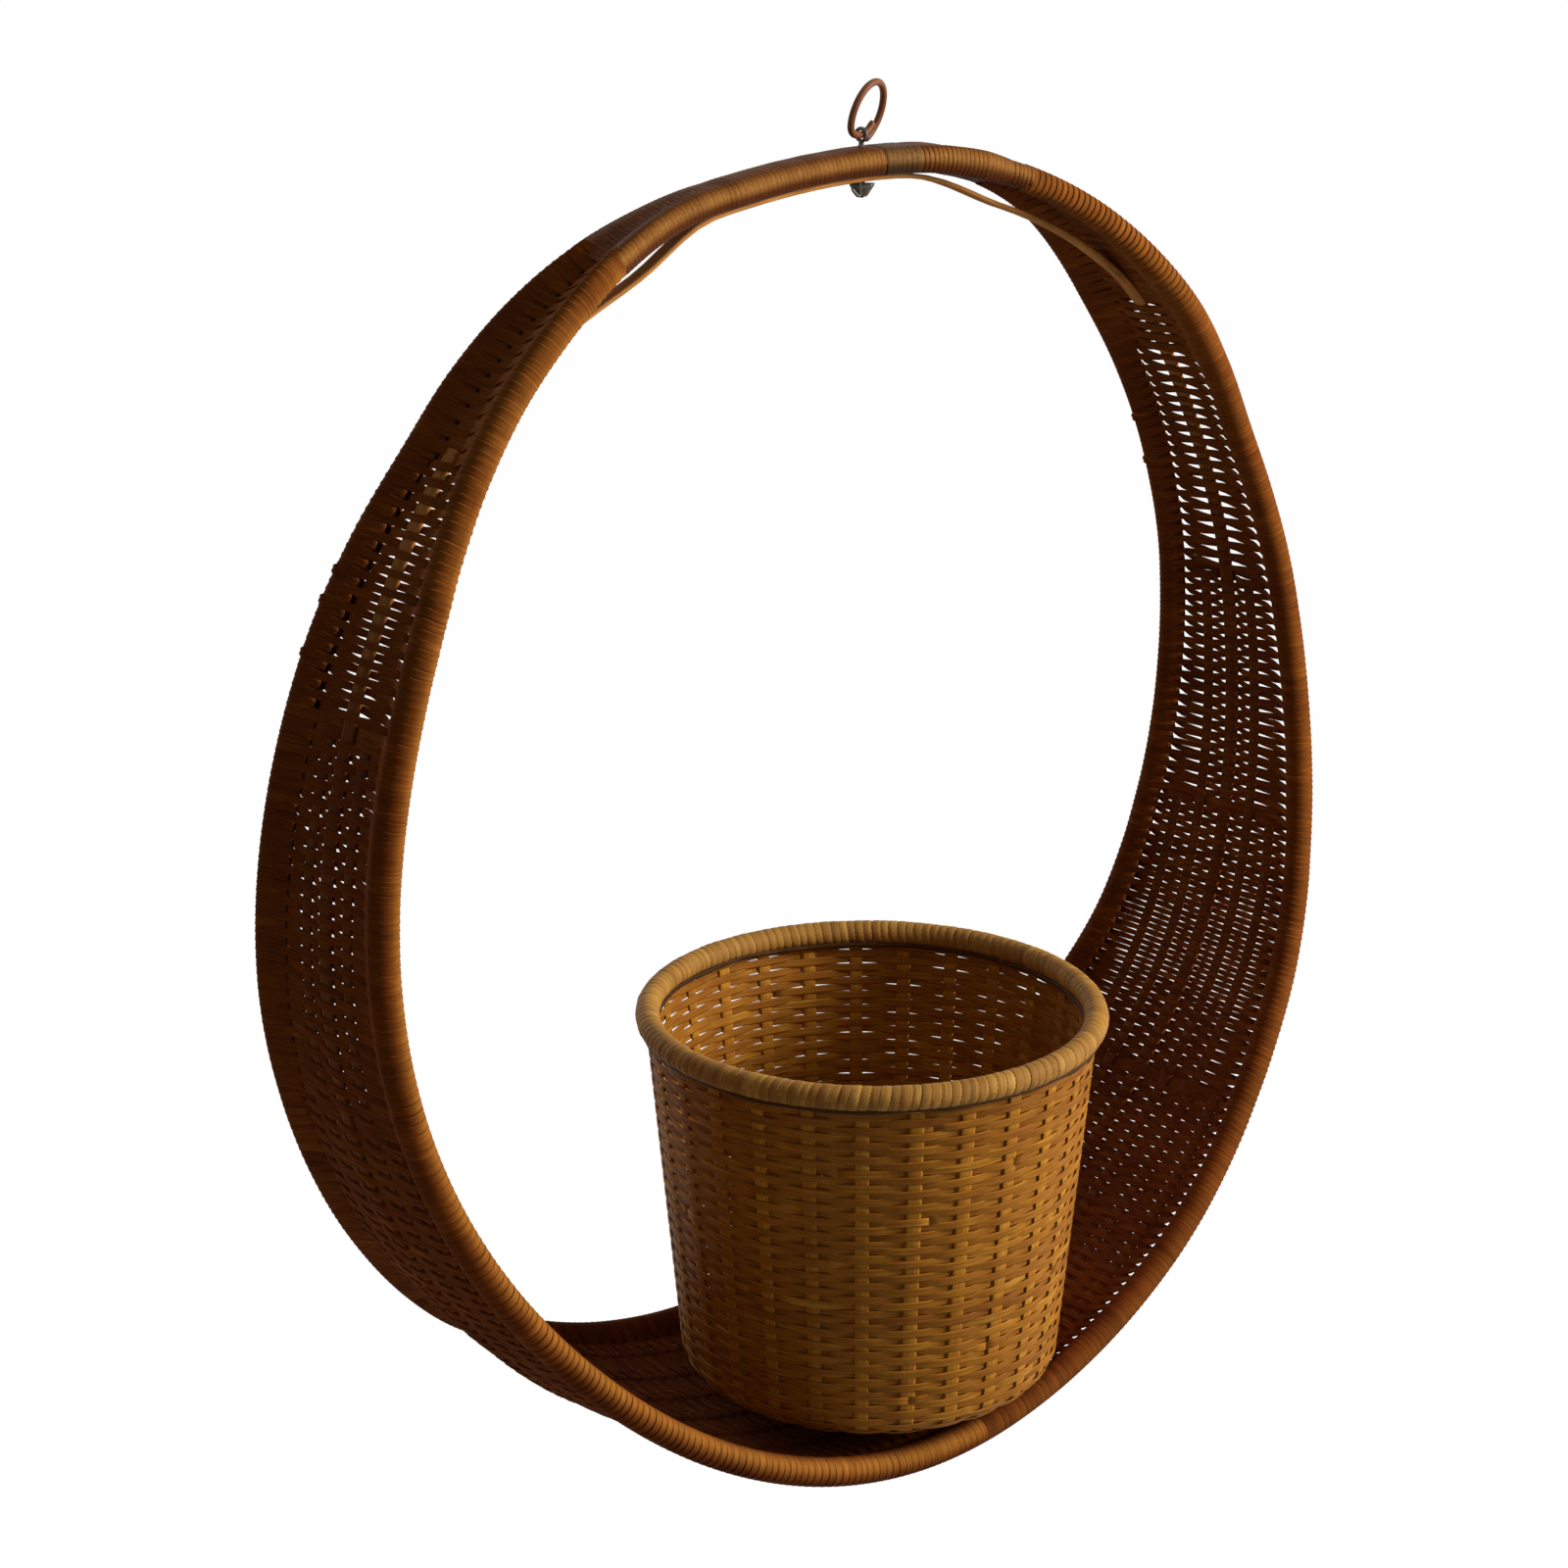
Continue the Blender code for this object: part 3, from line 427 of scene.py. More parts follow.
band = {
    "rightPitch": 3.25 * mm, "leftPitch": 3.9 * mm, "pitchFrom": 22.5, "pitchOver": 3.0,
    "pitchDrift": 0.08, "pitchJitter": 0.04, "thick": 0.8 * mm, "clear": 0.04 * mm,
    # widths as shares of the pitch, less beside what the row passes
    "share": {1: 1.03, -1: 1.08}, "pinch": {1: 0.15, -1: 0.09}, "polePinch": {1: -2.4, -1: 0.6},
    "shoulderPinch": 0.2, "shoulderShare": 0.12, "rimShare": 1.16, "openPinch": 0.24,
    "knots": {1: (9.07, 10.45, 14.0, 18.0), -1: (9.25, 14.0, 18.0)}, "knotReach": 0.12, "knotShare": 0.26,
    "closedUntil": {1: 6.8, -1: 6.0}, "closedShare": 0.60, "widthJitter": 0.02,
    # more in the floor, from and to these places
    "floorShare": {1: (0.46, 16.5, 23.0), -1: (0.46, 11.0, 16.0)},
    "floorThick": {1: (1.5, 17.5, 23.0), -1: (1.5, 10.6, 14.0)}, "floorSqueeze": 0.3,
    "floorDark": 0.45, "floorDarkFrom": 16.5, "floorDarkTo": 20.5,
    # half thickness and half width of what a row passes, and how far it takes to fall to the web
    "ribHold": (0.55 * mm, 3.0 * mm), "lathHold": (1.15 * mm, 3.9 * mm), "least": 0.4 * mm,
    "fall": {1: 13.0 * mm, -1: 4.0 * mm}, "openFall": 13.0 * mm, "openUntil": 9.1,
    # round a pole: where the row leaves it, from its far side, and how far its tail reaches
    "liftOff": math.radians(112), "wrapSteps": 12, "fallSteps": 5, "poleReach": 14.0 * mm, "reachShare": 0.6,
    "tailShare": {1: 0.55, -1: 0.95}, "shoulderTail": 0.60, "tailFrom": {1: 7.1, -1: 6.5},
    # wear and painted highlight on the front and rear rim, turned towards the light on the left half, and
    # wear over the shoulders
    "highlightLean": {1: 0.0, -1: 0.70}, "rubAndHighlightPower": {1: 2.6, -1: 4.5}, "rubAndHighlight": {1: (0.25, 0.15), -1: (1.0, 0.2)},
    "shoulderWear": 0.38, "shoulderWornTo": 9.5, "shoulderWornFrom": 5.5,
    "tone": 0.5, "toneDrift": 0.22, "toneJitter": 0.12, "tilt": 0.15, "ripple": 0.12, "rippleLength": 9 * mm,
    "rimEdge": 1.5 * mm, "rimBlend": 2.5 * mm,
}


def rowPlaces():
    places, place = [], 3.0
    while place < stationCount - 3.0:
        blend = ramp(place, band["pitchFrom"], band["pitchFrom"] + band["pitchOver"])
        pitch = band["rightPitch"] + (band["leftPitch"] - band["rightPitch"]) * blend
        pitch *= (1 + band["pitchDrift"] * smoothNoise(place * 1.7, 3)
                  + band["pitchJitter"] * smoothNoise(place * 9, 4))
        half = pitch / stretch[int(place) % stationCount] / 2
        places.append((place + half, pitch))
        place += 2 * half
    return places


def descent(reach, height, slope, endSlope):
    # smooth fall from a height to the web's plane over a reach
    t = np.arange(1, band["fallSteps"]) / band["fallSteps"]
    eased = slope * t * (1 - t) ** 2 + endSlope * t * t * (t - 1)
    return reach * t, height * (1 - t * t * (3 - 2 * t)) + reach * eased


def bell(at, shape):
    # 1 on what the row passes, falling to 0 before and after it
    spot, flat, before, after = shape
    reach = np.where(at < spot, before, after)
    return 0.5 + 0.5 * np.cos(math.pi * np.clip((abs(at - spot) - flat) / (reach - flat), 0, 1))


def rowSupports(place, folded, hand, lift):
    # what a row passes: across, outwards, how far past it, half width
    supports = []
    past, flat = band["ribHold"]
    for level, rib in ribs.items():
        if folded >= rib["start"][hand]:
            across = ribAcross(level, place)
            supports += [(side * across, rib["out"], past + lift, flat) for side in (-1, 1)]
    past, flat = band["lathHold"]
    if folded >= web["entry"]:
        supports.append((0.0, web["lathRest"], past + lift, flat))
    return sorted(supports)


def rowStrand(index, place, pitch):
    middle, run, out = bandAt(place)
    half, wide, tall = (float(size) for size in poleSizes(place))
    folded, hand = abs(centred(place)), 1 if centred(place) > 0 else -1
    sign = 1 if index % 2 == 0 else -1
    lift = band["thick"] / 2 + band["clear"]
    supports = rowSupports(place, folded, hand, lift)
    sides = [sign * (-1) ** j for j in range(len(supports) + 2)]
    far = wide + lift, tall + lift
    leave = -far[0] * math.cos(band["liftOff"])
    opened = hand < 0 and band["tailFrom"][hand] < folded < band["openUntil"]

    def grown(key):
        more, begin, full = band[key][hand]
        return more * ramp(folded, begin, full)

    def overRim(side, over, room):
        # tail, round the pole, then down to the web; listed from the pole to the web
        turn = np.linspace(-band["liftOff"], band["liftOff"], band["wrapSteps"] + 1)
        y, n = half + far[0] * np.cos(turn), over * far[1] * np.sin(turn)
        height = over * far[1] * math.sin(band["liftOff"])
        slope = over * far[1] / far[0] * math.cos(band["liftOff"]) / math.sin(band["liftOff"])
        reach = min(band["poleReach"], (band["reachShare"] if supports else 1.0) * (room - leave))
        short = band["tailShare"][hand] if folded > band["openUntil"] else band["shoulderTail"]
        closed = ramp(folded, band["tailFrom"][hand], band["closedUntil"][hand])
        tailY, tailN = descent(reach * (short + (1 - short) * closed), -height, -slope, 0.0)
        endY, endN = descent(reach, height, slope, 0.0 if supports else -height / reach)
        y = np.concatenate([(half - leave - tailY)[::-1], y, half - leave - endY])
        n = np.concatenate([tailN[::-1], n, endN])
        # rub on the rim: wear, and on the left half a painted highlight turned towards the light
        facing = np.clip(np.cos(turn + over * band["highlightLean"][hand]), 0, 1)
        still = np.zeros(band["fallSteps"] - 1)
        rubAndHighlight = np.concatenate([still, facing ** band["rubAndHighlightPower"][hand], still])
        return side * y, n, rubAndHighlight, half - leave - reach

    roomFront = half + (supports[0][0] if supports else 0.0)
    roomRear = half - (supports[-1][0] if supports else 0.0)
    yFront, nFront, frontRimRubAndHighlight, webFront = overRim(-1, sides[0], roomFront)
    yRear, nRear, rearRimRubAndHighlight, webRear = overRim(1, sides[-1], roomRear)

    # across the web: places where the row turns, then its height at each
    fall = band["openFall"] if opened else band["fall"][hand]
    turns = [-webFront] + [support[0] for support in supports] + [webRear]
    yWeb, bells = [-webFront, webRear], []
    for j, (spot, rest, past, flat) in enumerate(supports):
        before, after = (min(flat + fall, (turns[j + k + 1] - turns[j + k]) * (0.5 if between else 1.0))
                         for k, between in ((0, j > 0), (1, j < len(supports) - 1)))
        flat = min(flat, 0.7 * before, 0.7 * after)
        bells.append((spot, flat, before, after))
        yWeb += [spot - flat - (before - flat) * u for u in (1, 0.7, 0.3, 0)] + [spot]
        yWeb += [spot + flat + (after - flat) * u for u in (0, 0.3, 0.7, 1)]
    yWeb = np.array(sorted(yWeb))
    yWeb = yWeb[np.concatenate([[True], np.diff(yWeb) > band["least"]])]
    nWeb = np.zeros(len(yWeb))
    squeezed = 1 - band["floorSqueeze"] * min(grown("floorThick"), 1)
    for j, (spot, rest, past, flat) in enumerate(supports):
        nWeb += (rest + sides[j + 1] * past * squeezed) * bell(yWeb, bells[j])
    across = np.concatenate([yFront, yWeb, yRear[::-1]])
    outward = np.concatenate([nFront, nWeb, nRear[::-1]]) + webOut(place, across)

    # the left half's strong front rub is mostly a painted highlight
    frontRubAndHighlight, rearRubAndHighlight = band["rubAndHighlight"][hand]
    wearAndHighlight = np.concatenate([frontRimRubAndHighlight * frontRubAndHighlight, np.zeros(len(yWeb)), rearRimRubAndHighlight[::-1] * rearRubAndHighlight])
    shoulder = band["shoulderWear"] * ramp(folded, band["shoulderWornTo"], band["shoulderWornFrom"])
    wearAndHighlight = np.maximum(wearAndHighlight, shoulder * (0.55 - 0.45 * across / half))
    tilt = (band["tilt"] * pitch * smoothNoise(place * 2.3, 5) * across / half
            + band["ripple"] * pitch * smoothNoise(across / band["rippleLength"] + place * 3, 9))
    points = middle + out * outward[:, None] + run * tilt[:, None]
    points = points + blendAt(halfLine, place) * (across / half)[:, None]

    onRim = np.clip((abs(across) - (half - wide - band["rimEdge"])) / band["rimBlend"], 0, 1)
    beside = 0.5 + 0.5 * np.cos(math.pi * np.clip((half - wide - abs(across)) / band["poleReach"], 0, 1))
    beside = beside * band["polePinch"][hand]
    for shape in bells:
        beside = np.maximum(beside, bell(across, shape))
    pinch = band["openPinch"] if opened else band["pinch"][hand]
    share = band["share"][hand] + grown("floorShare")
    if hand > 0 and folded < band["knots"][hand][0]:
        pinch, share = pinch * band["shoulderPinch"], share + band["shoulderShare"]
    share = share - pinch * beside
    if folded < band["closedUntil"][hand]:
        share = share + band["closedShare"]
    elif min(abs(folded - k) for k in band["knots"][hand]) < band["knotReach"]:
        share = share + band["knotShare"]
    width = pitch * (share + (band["rimShare"] - share) * onRim)
    width = width * (1 + band["widthJitter"] * random.uniform(-1, 1) * (1 - onRim))
    thick = band["thick"] * (1 + grown("floorThick") * (1 - onRim))
    tone = band["tone"] + band["toneDrift"] * smoothNoise(place * 3.1, 6)
    tone = min(max(tone + random.gauss(0, band["toneJitter"]), 0), 1)
    tone -= band["floorDark"] * ramp(folded, band["floorDarkFrom"], band["floorDarkTo"])
    wearAndHighlight = wearAndHighlight * random.uniform(0.8, 1)
    return dict(points=points, across=run, width=width, thick=thick, tone=tone, wearAndHighlight=wearAndHighlight)


places = rowPlaces()
rows = [rowStrand(k, place, pitch) for k, (place, pitch) in enumerate(places)]
weaveSpans = {"shoulder_weave": (3, 9), "side_weave": (9, 14),
              "lower_weave": (14, 18), "floor_weave": (18, 24)}
for name, (low, high) in weaveSpans.items():
    for word, start, end in (("right", low, high), ("left", stationCount - high, stationCount - low)):
        picked = [r for r, (p, _) in zip(rows, places) if start <= p < end]
        title = name.split("_")[0] + "Weave" + word.title()
        strandMesh(title, picked, pairSection, "hoop_weave", "hoop", [f"{name}_{word}"])

# short canes over the rear rim, where a row was tied off: half of the hoop, rim, place
rimKnot = {"spots": [(1, 1, 8.08), (1, 1, 8.80), (-1, 1, 7.58), (-1, 1, 7.95), (-1, 1, 8.60)],
           "width": 3.4 * mm, "thick": 1.0 * mm, "turn": 1.5, "steps": 13,
           "proud": 0.8 * mm, "swell": 0.9 * mm, "lean": 2.5 * mm, "tone": 0.4, "wearAndHighlight": 0.1}
arcs = []
for hand, side, spot in rimKnot["spots"]:
    place = spot if hand > 0 else stationCount - spot
    middle, run, out = bandAt(place)
    half, wide, tall = (float(size) for size in poleSizes(place))
    turn = np.linspace(-rimKnot["turn"], rimKnot["turn"], rimKnot["steps"])
    proud = rimKnot["proud"] + rimKnot["swell"] * np.cos(turn) ** 2
    y, n = side * (half + (wide + proud) * np.cos(turn)), (tall + proud) * np.sin(turn)
    lean = run * (rimKnot["lean"] * np.sin(turn))[:, None]
    arc = {key: rimKnot[key] for key in ("width", "thick", "tone", "wearAndHighlight")}
    arcs.append(dict(arc, points=middle + out * n[:, None] + lean + [[0, v, 0] for v in y], across=run))
strandMesh("rimKnots", arcs, pairSection, "hoop_weave", "hoop")
print("woven band:", len(rows), "rows")


# ribs and lath: flat blades that the rows pass over and under

blades = {"ribWidth": 6.5 * mm, "ribThick": 1.1 * mm, "lathWidth": 8.4 * mm, "lathThick": 2.3 * mm,
          "steps": 4, "ends": 0.02, "lathTone": 0.6, "wornAndHighlight": 1.6, "wornUntil": 9.5, "wornOver": 4.0,
          # pressed against the crown's underside, between these stations
          "underCrown": 1.0 * mm, "pressed": ((-2.75, -1.3, 1.1, 3.0), (0, 1, 1, 0))}

for level, rib in ribs.items():
    for side, word in ((-1, "front"), (1, "rear")):
        begin, end = rib["start"][1] + blades["ends"], stationCount - rib["start"][-1] - blades["ends"]
        spots = np.linspace(begin, end, int((end - begin) * blades["steps"]))
        middle, run, out = bandAt(spots)
        halves = blendAt(halfLine, spots)
        acrosses = np.array([side * ribAcross(level, p) for p in spots])
        outs = np.array([rib["out"] + webOut(p, a) for p, a in zip(spots, acrosses)])
        points = middle + out * outs[:, None] + halves * (acrosses / halves[:, 1])[:, None]
        blade = dict(points=points, across=np.tile([0.0, 1.0, 0.0], (len(spots), 1)),
                     width=blades["ribWidth"], thick=blades["ribThick"], tone=random.uniform(0.4, 0.8))
        title, node = f"{level}Rib{word.title()}", f"{level}_rib_{word}"
        strandMesh(title, [blade], bladeSection, "flat_lath", "hoop", [node])

spots = np.arange(stationCount * blades["steps"]) / blades["steps"]
middle, run, out = bandAt(spots)
outs = np.array([lathOut(p) for p in spots])
outs = np.convolve(np.concatenate([outs[-2:], outs, outs[:2]]), np.ones(5) / 5, "valid")
under = -(blendAt(poleTall, spots) + blades["underCrown"] + blades["lathThick"] / 2)
pressed = np.interp(centred(spots), *blades["pressed"])
outs += np.maximum(under - outs, 0) * pressed * pressed * (3 - 2 * pressed)
wearAndHighlight = blades["wornAndHighlight"] * np.clip((blades["wornUntil"] - abs(centred(spots))) / blades["wornOver"], 0, 1)
blade = dict(points=middle + out * outs[:, None], across=np.tile([0.0, 1.0, 0.0], (len(spots), 1)),
             width=blades["lathWidth"], thick=blades["lathThick"], tone=blades["lathTone"], wearAndHighlight=wearAndHighlight)
strandMesh("centreLath", [blade], bladeSection, "flat_lath", "hoop", ["centre_lath"], closed=True)
print("ribs and lath")


# crown: one strand bound round both poles, with a darker patch

crown = {"pitch": 2.6 * mm, "width": 4.1 * mm, "thick": 0.7 * mm, "turnSteps": 24,
         "start": -3.14, "end": 3.14, "sway": 0.12,
         "patchStart": 0.90, "patchEnd": 1.48, "patchPitch": 3.4 * mm, "patchWidth": 4.8 * mm,
         "patchProud": 0.25 * mm, "tuck": 0.10, "clear": 0.25 * mm, "drift": 0.12 * mm, "lean": 0.25,
         # the binding sinks between the poles where they part
         "dipFrom": 1.2, "dipTo": 3.1, "dip": 0.92, "dipPower": 0.9, "flatTop": 2.2,
         "lump": 1.3 * mm, "lumpSpots": (1.45, 1.9, 2.4, 2.75), "lumpShares": (0.0, 0.75, 1.0, 0.0),
         # heights on the crown, from -1 below to 1 above: a painted highlight as an amber band, between
         # painted shade on the top and underside
         "wornAndHighlight": 0.75, "highlightAt": 0.25, "highlightReach": 0.62,
         "underFrom": 0.1, "underOver": 0.45, "underPaintedShade": 1.3,
         "topFrom": 0.6, "topOver": 0.4, "topPaintedShade": 0.6, "tone": 0.50, "toneDrift": 0.24}
crownLength = float(stretch[0])


def bindingStrand(start, end, pitch, width, proud, row):
    turns = (end - start) * crownLength / pitch
    steps = int(turns * crown["turnSteps"])
    turn = np.linspace(0, turns * math.tau, steps + 1)
    spots = np.linspace(start + width / 2 / crownLength, end - width / 2 / crownLength, steps + 1)
    middle, run, out = bandAt(spots)
    half, wide, tall = poleSizes(spots)
    lift = crown["thick"] / 2 + crown["clear"] + proud
    lift = lift + crown["lump"] * np.interp(spots, crown["lumpSpots"], crown["lumpShares"]) ** 0.8
    lift = lift + crown["drift"] * smoothNoise(turn / math.tau * 0.31, row + 9)
    c, s = np.cos(turn), np.sin(turn)
    y = half * np.clip(c * crown["flatTop"], -1, 1) + (wide + lift) * np.sign(c) * abs(c)
    fade = np.clip((abs(spots) - crown["dipFrom"]) / (crown["dipTo"] - crown["dipFrom"]), 0, 1)
    n = (tall + lift) * s * (1 - crown["dip"] * fade * np.clip(1 - abs(y) / half, 0, 1) ** crown["dipPower"])
    points = middle + out * n[:, None]
    points[:, 1] += y
    sway = crown["sway"] * pitch * smoothNoise(turn / math.tau, row) + crown["lean"] * pitch * c
    points += run * sway[:, None]
    # painted highlight: an amber band across the crown's middle; painted shade darkens its top and underside
    wearAndHighlight = crown["wornAndHighlight"] * np.clip(1 - abs(s - crown["highlightAt"]) / crown["highlightReach"], 0, 1)
    paintedShade = (crown["underPaintedShade"] * np.clip((crown["underFrom"] - s) / crown["underOver"], 0, 1)
             + crown["topPaintedShade"] * np.clip((s - crown["topFrom"]) / crown["topOver"], 0, 1))
    tone = crown["tone"] + crown["toneDrift"] * smoothNoise(turn / math.tau * 0.9, row + 4) - paintedShade
    return dict(points=points, across=run, width=width, thick=crown["thick"], tone=tone, wearAndHighlight=wearAndHighlight)


plain = crown["pitch"], crown["width"], 0.0
patch = crown["patchPitch"], crown["patchWidth"], crown["patchProud"]
bindings = (
    ("crownBindingLeft", crown["start"], crown["patchStart"] + crown["tuck"], plain, 21, "wrapped_strand",
     "crown_binding_left"),
    ("crownPatch", crown["patchStart"], crown["patchEnd"], patch, 22, "dark_strand", "crown_patch"),
    ("crownBindingRight", crown["patchEnd"] - crown["tuck"], crown["end"], plain, 23, "wrapped_strand",
     "crown_binding_right"),
)
for title, start, end, winding, row, slotName, node in bindings:
    strandMesh(title, [bindingStrand(start, end, *winding, row)], flatSection, slotName, "hoop", [node])
print("crown")


# basket: one pair of canes wound round 27 stakes, from the lip under the base to the rim

basket = {"stakes": 27, "pitch": 3.72 * mm, "width": 4.27 * mm, "thick": 0.95 * mm, "stepsPerBay": 4,
          "weave": 0.84 * mm, "lean": 0.16 * mm, "start": 1.5 * mm, "edge": 2 * mm,
          "drift": 0.06, "bulge": 0.7,
          "leanDrift": 0.35, "widthDrift": 0.05, "lengths": 60, "toneJitter": 0.15, "wearAndHighlight": 0.05,
          "stakeWidth": 7.4 * mm, "stakeThick": 0.9 * mm, "stakeEnd": 0.5 * mm, "stakeSway": 0.25 * mm,
          "stakeWear": 0.1}
wallLow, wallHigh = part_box("basket_wall")
basketMiddle = np.array([(wallLow.x + wallHigh.x) / 2, (wallLow.y + wallHigh.y) / 2, 0.0])
shell = {"baseRadius": 94.0 * mm, "topRadius": wallHigh.x - basketMiddle[0],
         "height": wallHigh.z - wallLow.z, "corner": 14 * mm, "lip": 5 * mm, "wall": 2.6 * mm}


def basketLine():
    # middle of the wall, from the lip's edge up to the top: radius, height, outward normal
    flat = shell["baseRadius"] - shell["corner"]
    taper = math.atan2(shell["topRadius"] - shell["baseRadius"], shell["height"] - shell["corner"])
    spots = [(flat - shell["lip"], 0.0, 0.0, -1.0), (flat - shell["lip"] / 2, 0.0, 0.0, -1.0)]
    for i in range(9):
        a = (math.pi / 2 - taper) * i / 8
        spots.append((flat + shell["corner"] * math.sin(a), shell["corner"] * (1 - math.cos(a)),
                      math.sin(a), -math.cos(a)))
    r, z, nr, nz = spots[-1]
    for i in range(1, 13):
        spots.append((r + (shell["topRadius"] - r) * i / 12, z + (shell["height"] - z) * i / 12, nr, nz))
    line = np.array(spots)
    line[:, 0] -= line[:, 2] * shell["wall"] / 2
    line[:, 1] += -line[:, 3] * shell["wall"] / 2 + wallLow.z
    return line


wallLine = basketLine()
wallRun = np.concatenate([[0], np.cumsum(np.hypot(*np.diff(wallLine[:, :2], axis=0).T))])


def wallAt(run):
    return [np.interp(run, wallRun, wallLine[:, k]) for k in range(4)]


def roundSpot(r, z, angle):
    return np.stack([basketMiddle[0] + r * np.cos(angle), basketMiddle[1] + r * np.sin(angle), z], -1)


def acrossAt(angle):
    return np.array([-math.sin(angle), math.cos(angle), 0.0])


def wovenTurns():
    turns = (wallRun[-1] - basket["edge"]) / basket["pitch"]
    steps = int(turns * basket["stakes"] * basket["stepsPerBay"])
    t = np.linspace(0, turns, steps + 1)
    bays = t * basket["stakes"]
    beat = np.cos(math.pi * bays)
    beat = np.sign(beat) * abs(beat) ** basket["bulge"]
    run = basket["start"] + (t + basket["drift"] * smoothNoise(t * 3.1, 31)) * basket["pitch"]
    lean = basket["lean"] * beat * (1 + basket["leanDrift"] * smoothNoise(bays * 0.73, 32))
    r, z, nr, nz = wallAt(np.clip(run + lean, 0, wallRun[-1]))
    depth = basket["weave"] * beat
    angle = t * math.tau
    upward = np.stack([-nz * np.cos(angle), -nz * np.sin(angle), nr], -1)
    return roundSpot(r + nr * depth, z + nz * depth, angle), upward


points, upward = wovenTurns()
edges = np.linspace(0, len(points) - 1, basket["lengths"] + 1).astype(int)
strands = []
for a, b in zip(edges, edges[1:]):
    tone = min(max(0.5 + random.gauss(0, basket["toneJitter"]), 0), 1)
    b = min(b + 1, len(points))
    width = basket["width"] * (1 + basket["widthDrift"] * smoothNoise(np.arange(a, b) * 0.05, 33))
    strands.append(dict(points=points[a:b], across=upward[a:b], width=width, thick=basket["thick"],
                        tone=tone, wearAndHighlight=basket["wearAndHighlight"]))
strandMesh("basketWeave", strands, pairSection, "basket_weave", "basket", ["basket_wall"])

for k in range(basket["stakes"]):
    angle = k * math.tau / basket["stakes"]
    run = np.arange(basket["stakeEnd"], wallRun[-1] - basket["stakeEnd"], basket["pitch"] / 4)
    r, z, nr, nz = wallAt(run)
    turnHere = (run - basket["start"]) / basket["pitch"] - k / basket["stakes"]
    sway = -basket["stakeSway"] * np.cos(math.pi * turnHere + math.pi * k)
    points = roundSpot(r + nr * sway, z + nz * sway, np.full(len(run), angle))
    stake = dict(points=points, across=np.tile(acrossAt(angle), (len(run), 1)),
                 width=basket["stakeWidth"] * random.uniform(0.92, 1.0),
                 thick=basket["stakeThick"], tone=random.uniform(0.3, 0.8), wearAndHighlight=basket["stakeWear"])
    strandMesh(f"stake{k + 1:02d}", [stake], flatSection, "basket_stake", "basket", [f"stake_{k + 1:02d}"])
print("basket wall and stakes")


# base: a flat spiral woven on spokes, which are the stakes' inner ends

baseLow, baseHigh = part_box("basket_base")
base = {"hub": 12 * mm, "radius": (baseHigh.x - baseLow.x) / 2 - 0.8 * mm, "height": baseLow.z + 1.6 * mm,
        "weave": 0.8 * mm, "thick": 0.9 * mm, "tone": 0.45, "stepsPerBay": 4,
        "spokeStart": 4 * mm, "spokeSteps": 24, "spokeThick": 0.7 * mm,
        "spokeShare": 0.9, "spokeTip": 0.5 * mm}
turns = (base["radius"] - base["hub"]) / basket["pitch"]
t = np.linspace(0, turns, int(turns * basket["stakes"] * base["stepsPerBay"]) + 1)
beat = np.cos(math.pi * t * basket["stakes"])
points = roundSpot(base["hub"] + t * basket["pitch"], base["height"] + base["weave"] * beat, t * math.tau)
outwardDir = np.stack([np.cos(t * math.tau), np.sin(t * math.tau), 0 * t], -1)
spiral = dict(points=points, across=outwardDir, width=basket["width"],
              thick=base["thick"], tone=base["tone"])
strandMesh("baseWeave", [spiral], flatSection, "basket_weave", "basket", ["basket_base"])
spokes = []
r = np.linspace(base["spokeStart"], base["radius"], base["spokeSteps"])
level = np.full(len(r), base["height"])
room = r * math.tau / basket["stakes"] * base["spokeShare"] + base["spokeTip"]
for k in range(basket["stakes"]):
    angle = k * math.tau / basket["stakes"]
    spokes.append(dict(points=roundSpot(r, level, np.full(len(r), angle)),
                       across=np.tile(acrossAt(angle), (len(r), 1)),
                       width=np.minimum(basket["stakeWidth"], room), thick=base["spokeThick"],
                       tone=random.uniform(0.3, 0.7)))
strandMesh("baseSpokes", spokes, flatSection, "basket_stake", "basket")


# rim: canes bound round the core and the wall's edge

rimLow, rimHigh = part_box("rim_binding")
rim = {"radius": 6.0 * mm, "thick": 0.9 * mm, "wraps": 152, "width": 5.6 * mm, "steps": 16, "wearAndHighlight": 0.25,
       "inset": 0.1 * mm, "lump": 0.15 * mm, "lean": 0.010, "leanDrift": 0.004, "toneJitter": 0.2}
rimMiddleRadius = (rimHigh.x - rimLow.x) / 2 - rim["radius"]
rimHeight = rimHigh.z - rim["radius"]
wraps = []
for k in range(rim["wraps"]):
    turn = np.arange(rim["steps"]) / rim["steps"] * math.tau
    angle = (k * math.tau / rim["wraps"] + rim["lean"] * np.sin(turn - 0.5)
             + rim["leanDrift"] * smoothNoise(k * 0.9, 41))
    reach = rim["radius"] - rim["thick"] / 2 - rim["inset"] + rim["lump"] * smoothNoise(k * 1.3, 42)
    points = roundSpot(rimMiddleRadius + reach * np.cos(turn), rimHeight + reach * np.sin(turn), angle)
    side = np.stack([-np.sin(angle), np.cos(angle), 0 * angle], -1)
    wraps.append(dict(points=points, across=side, width=rim["width"] * random.uniform(0.9, 1.04),
                      thick=rim["thick"], tone=min(max(0.5 + random.gauss(0, rim["toneJitter"]), 0), 1),
                      wearAndHighlight=rim["wearAndHighlight"]))
strandMesh("rimBinding", wraps, flatSection, "basket_rim", "basket", ["rim_binding"], closed=True)

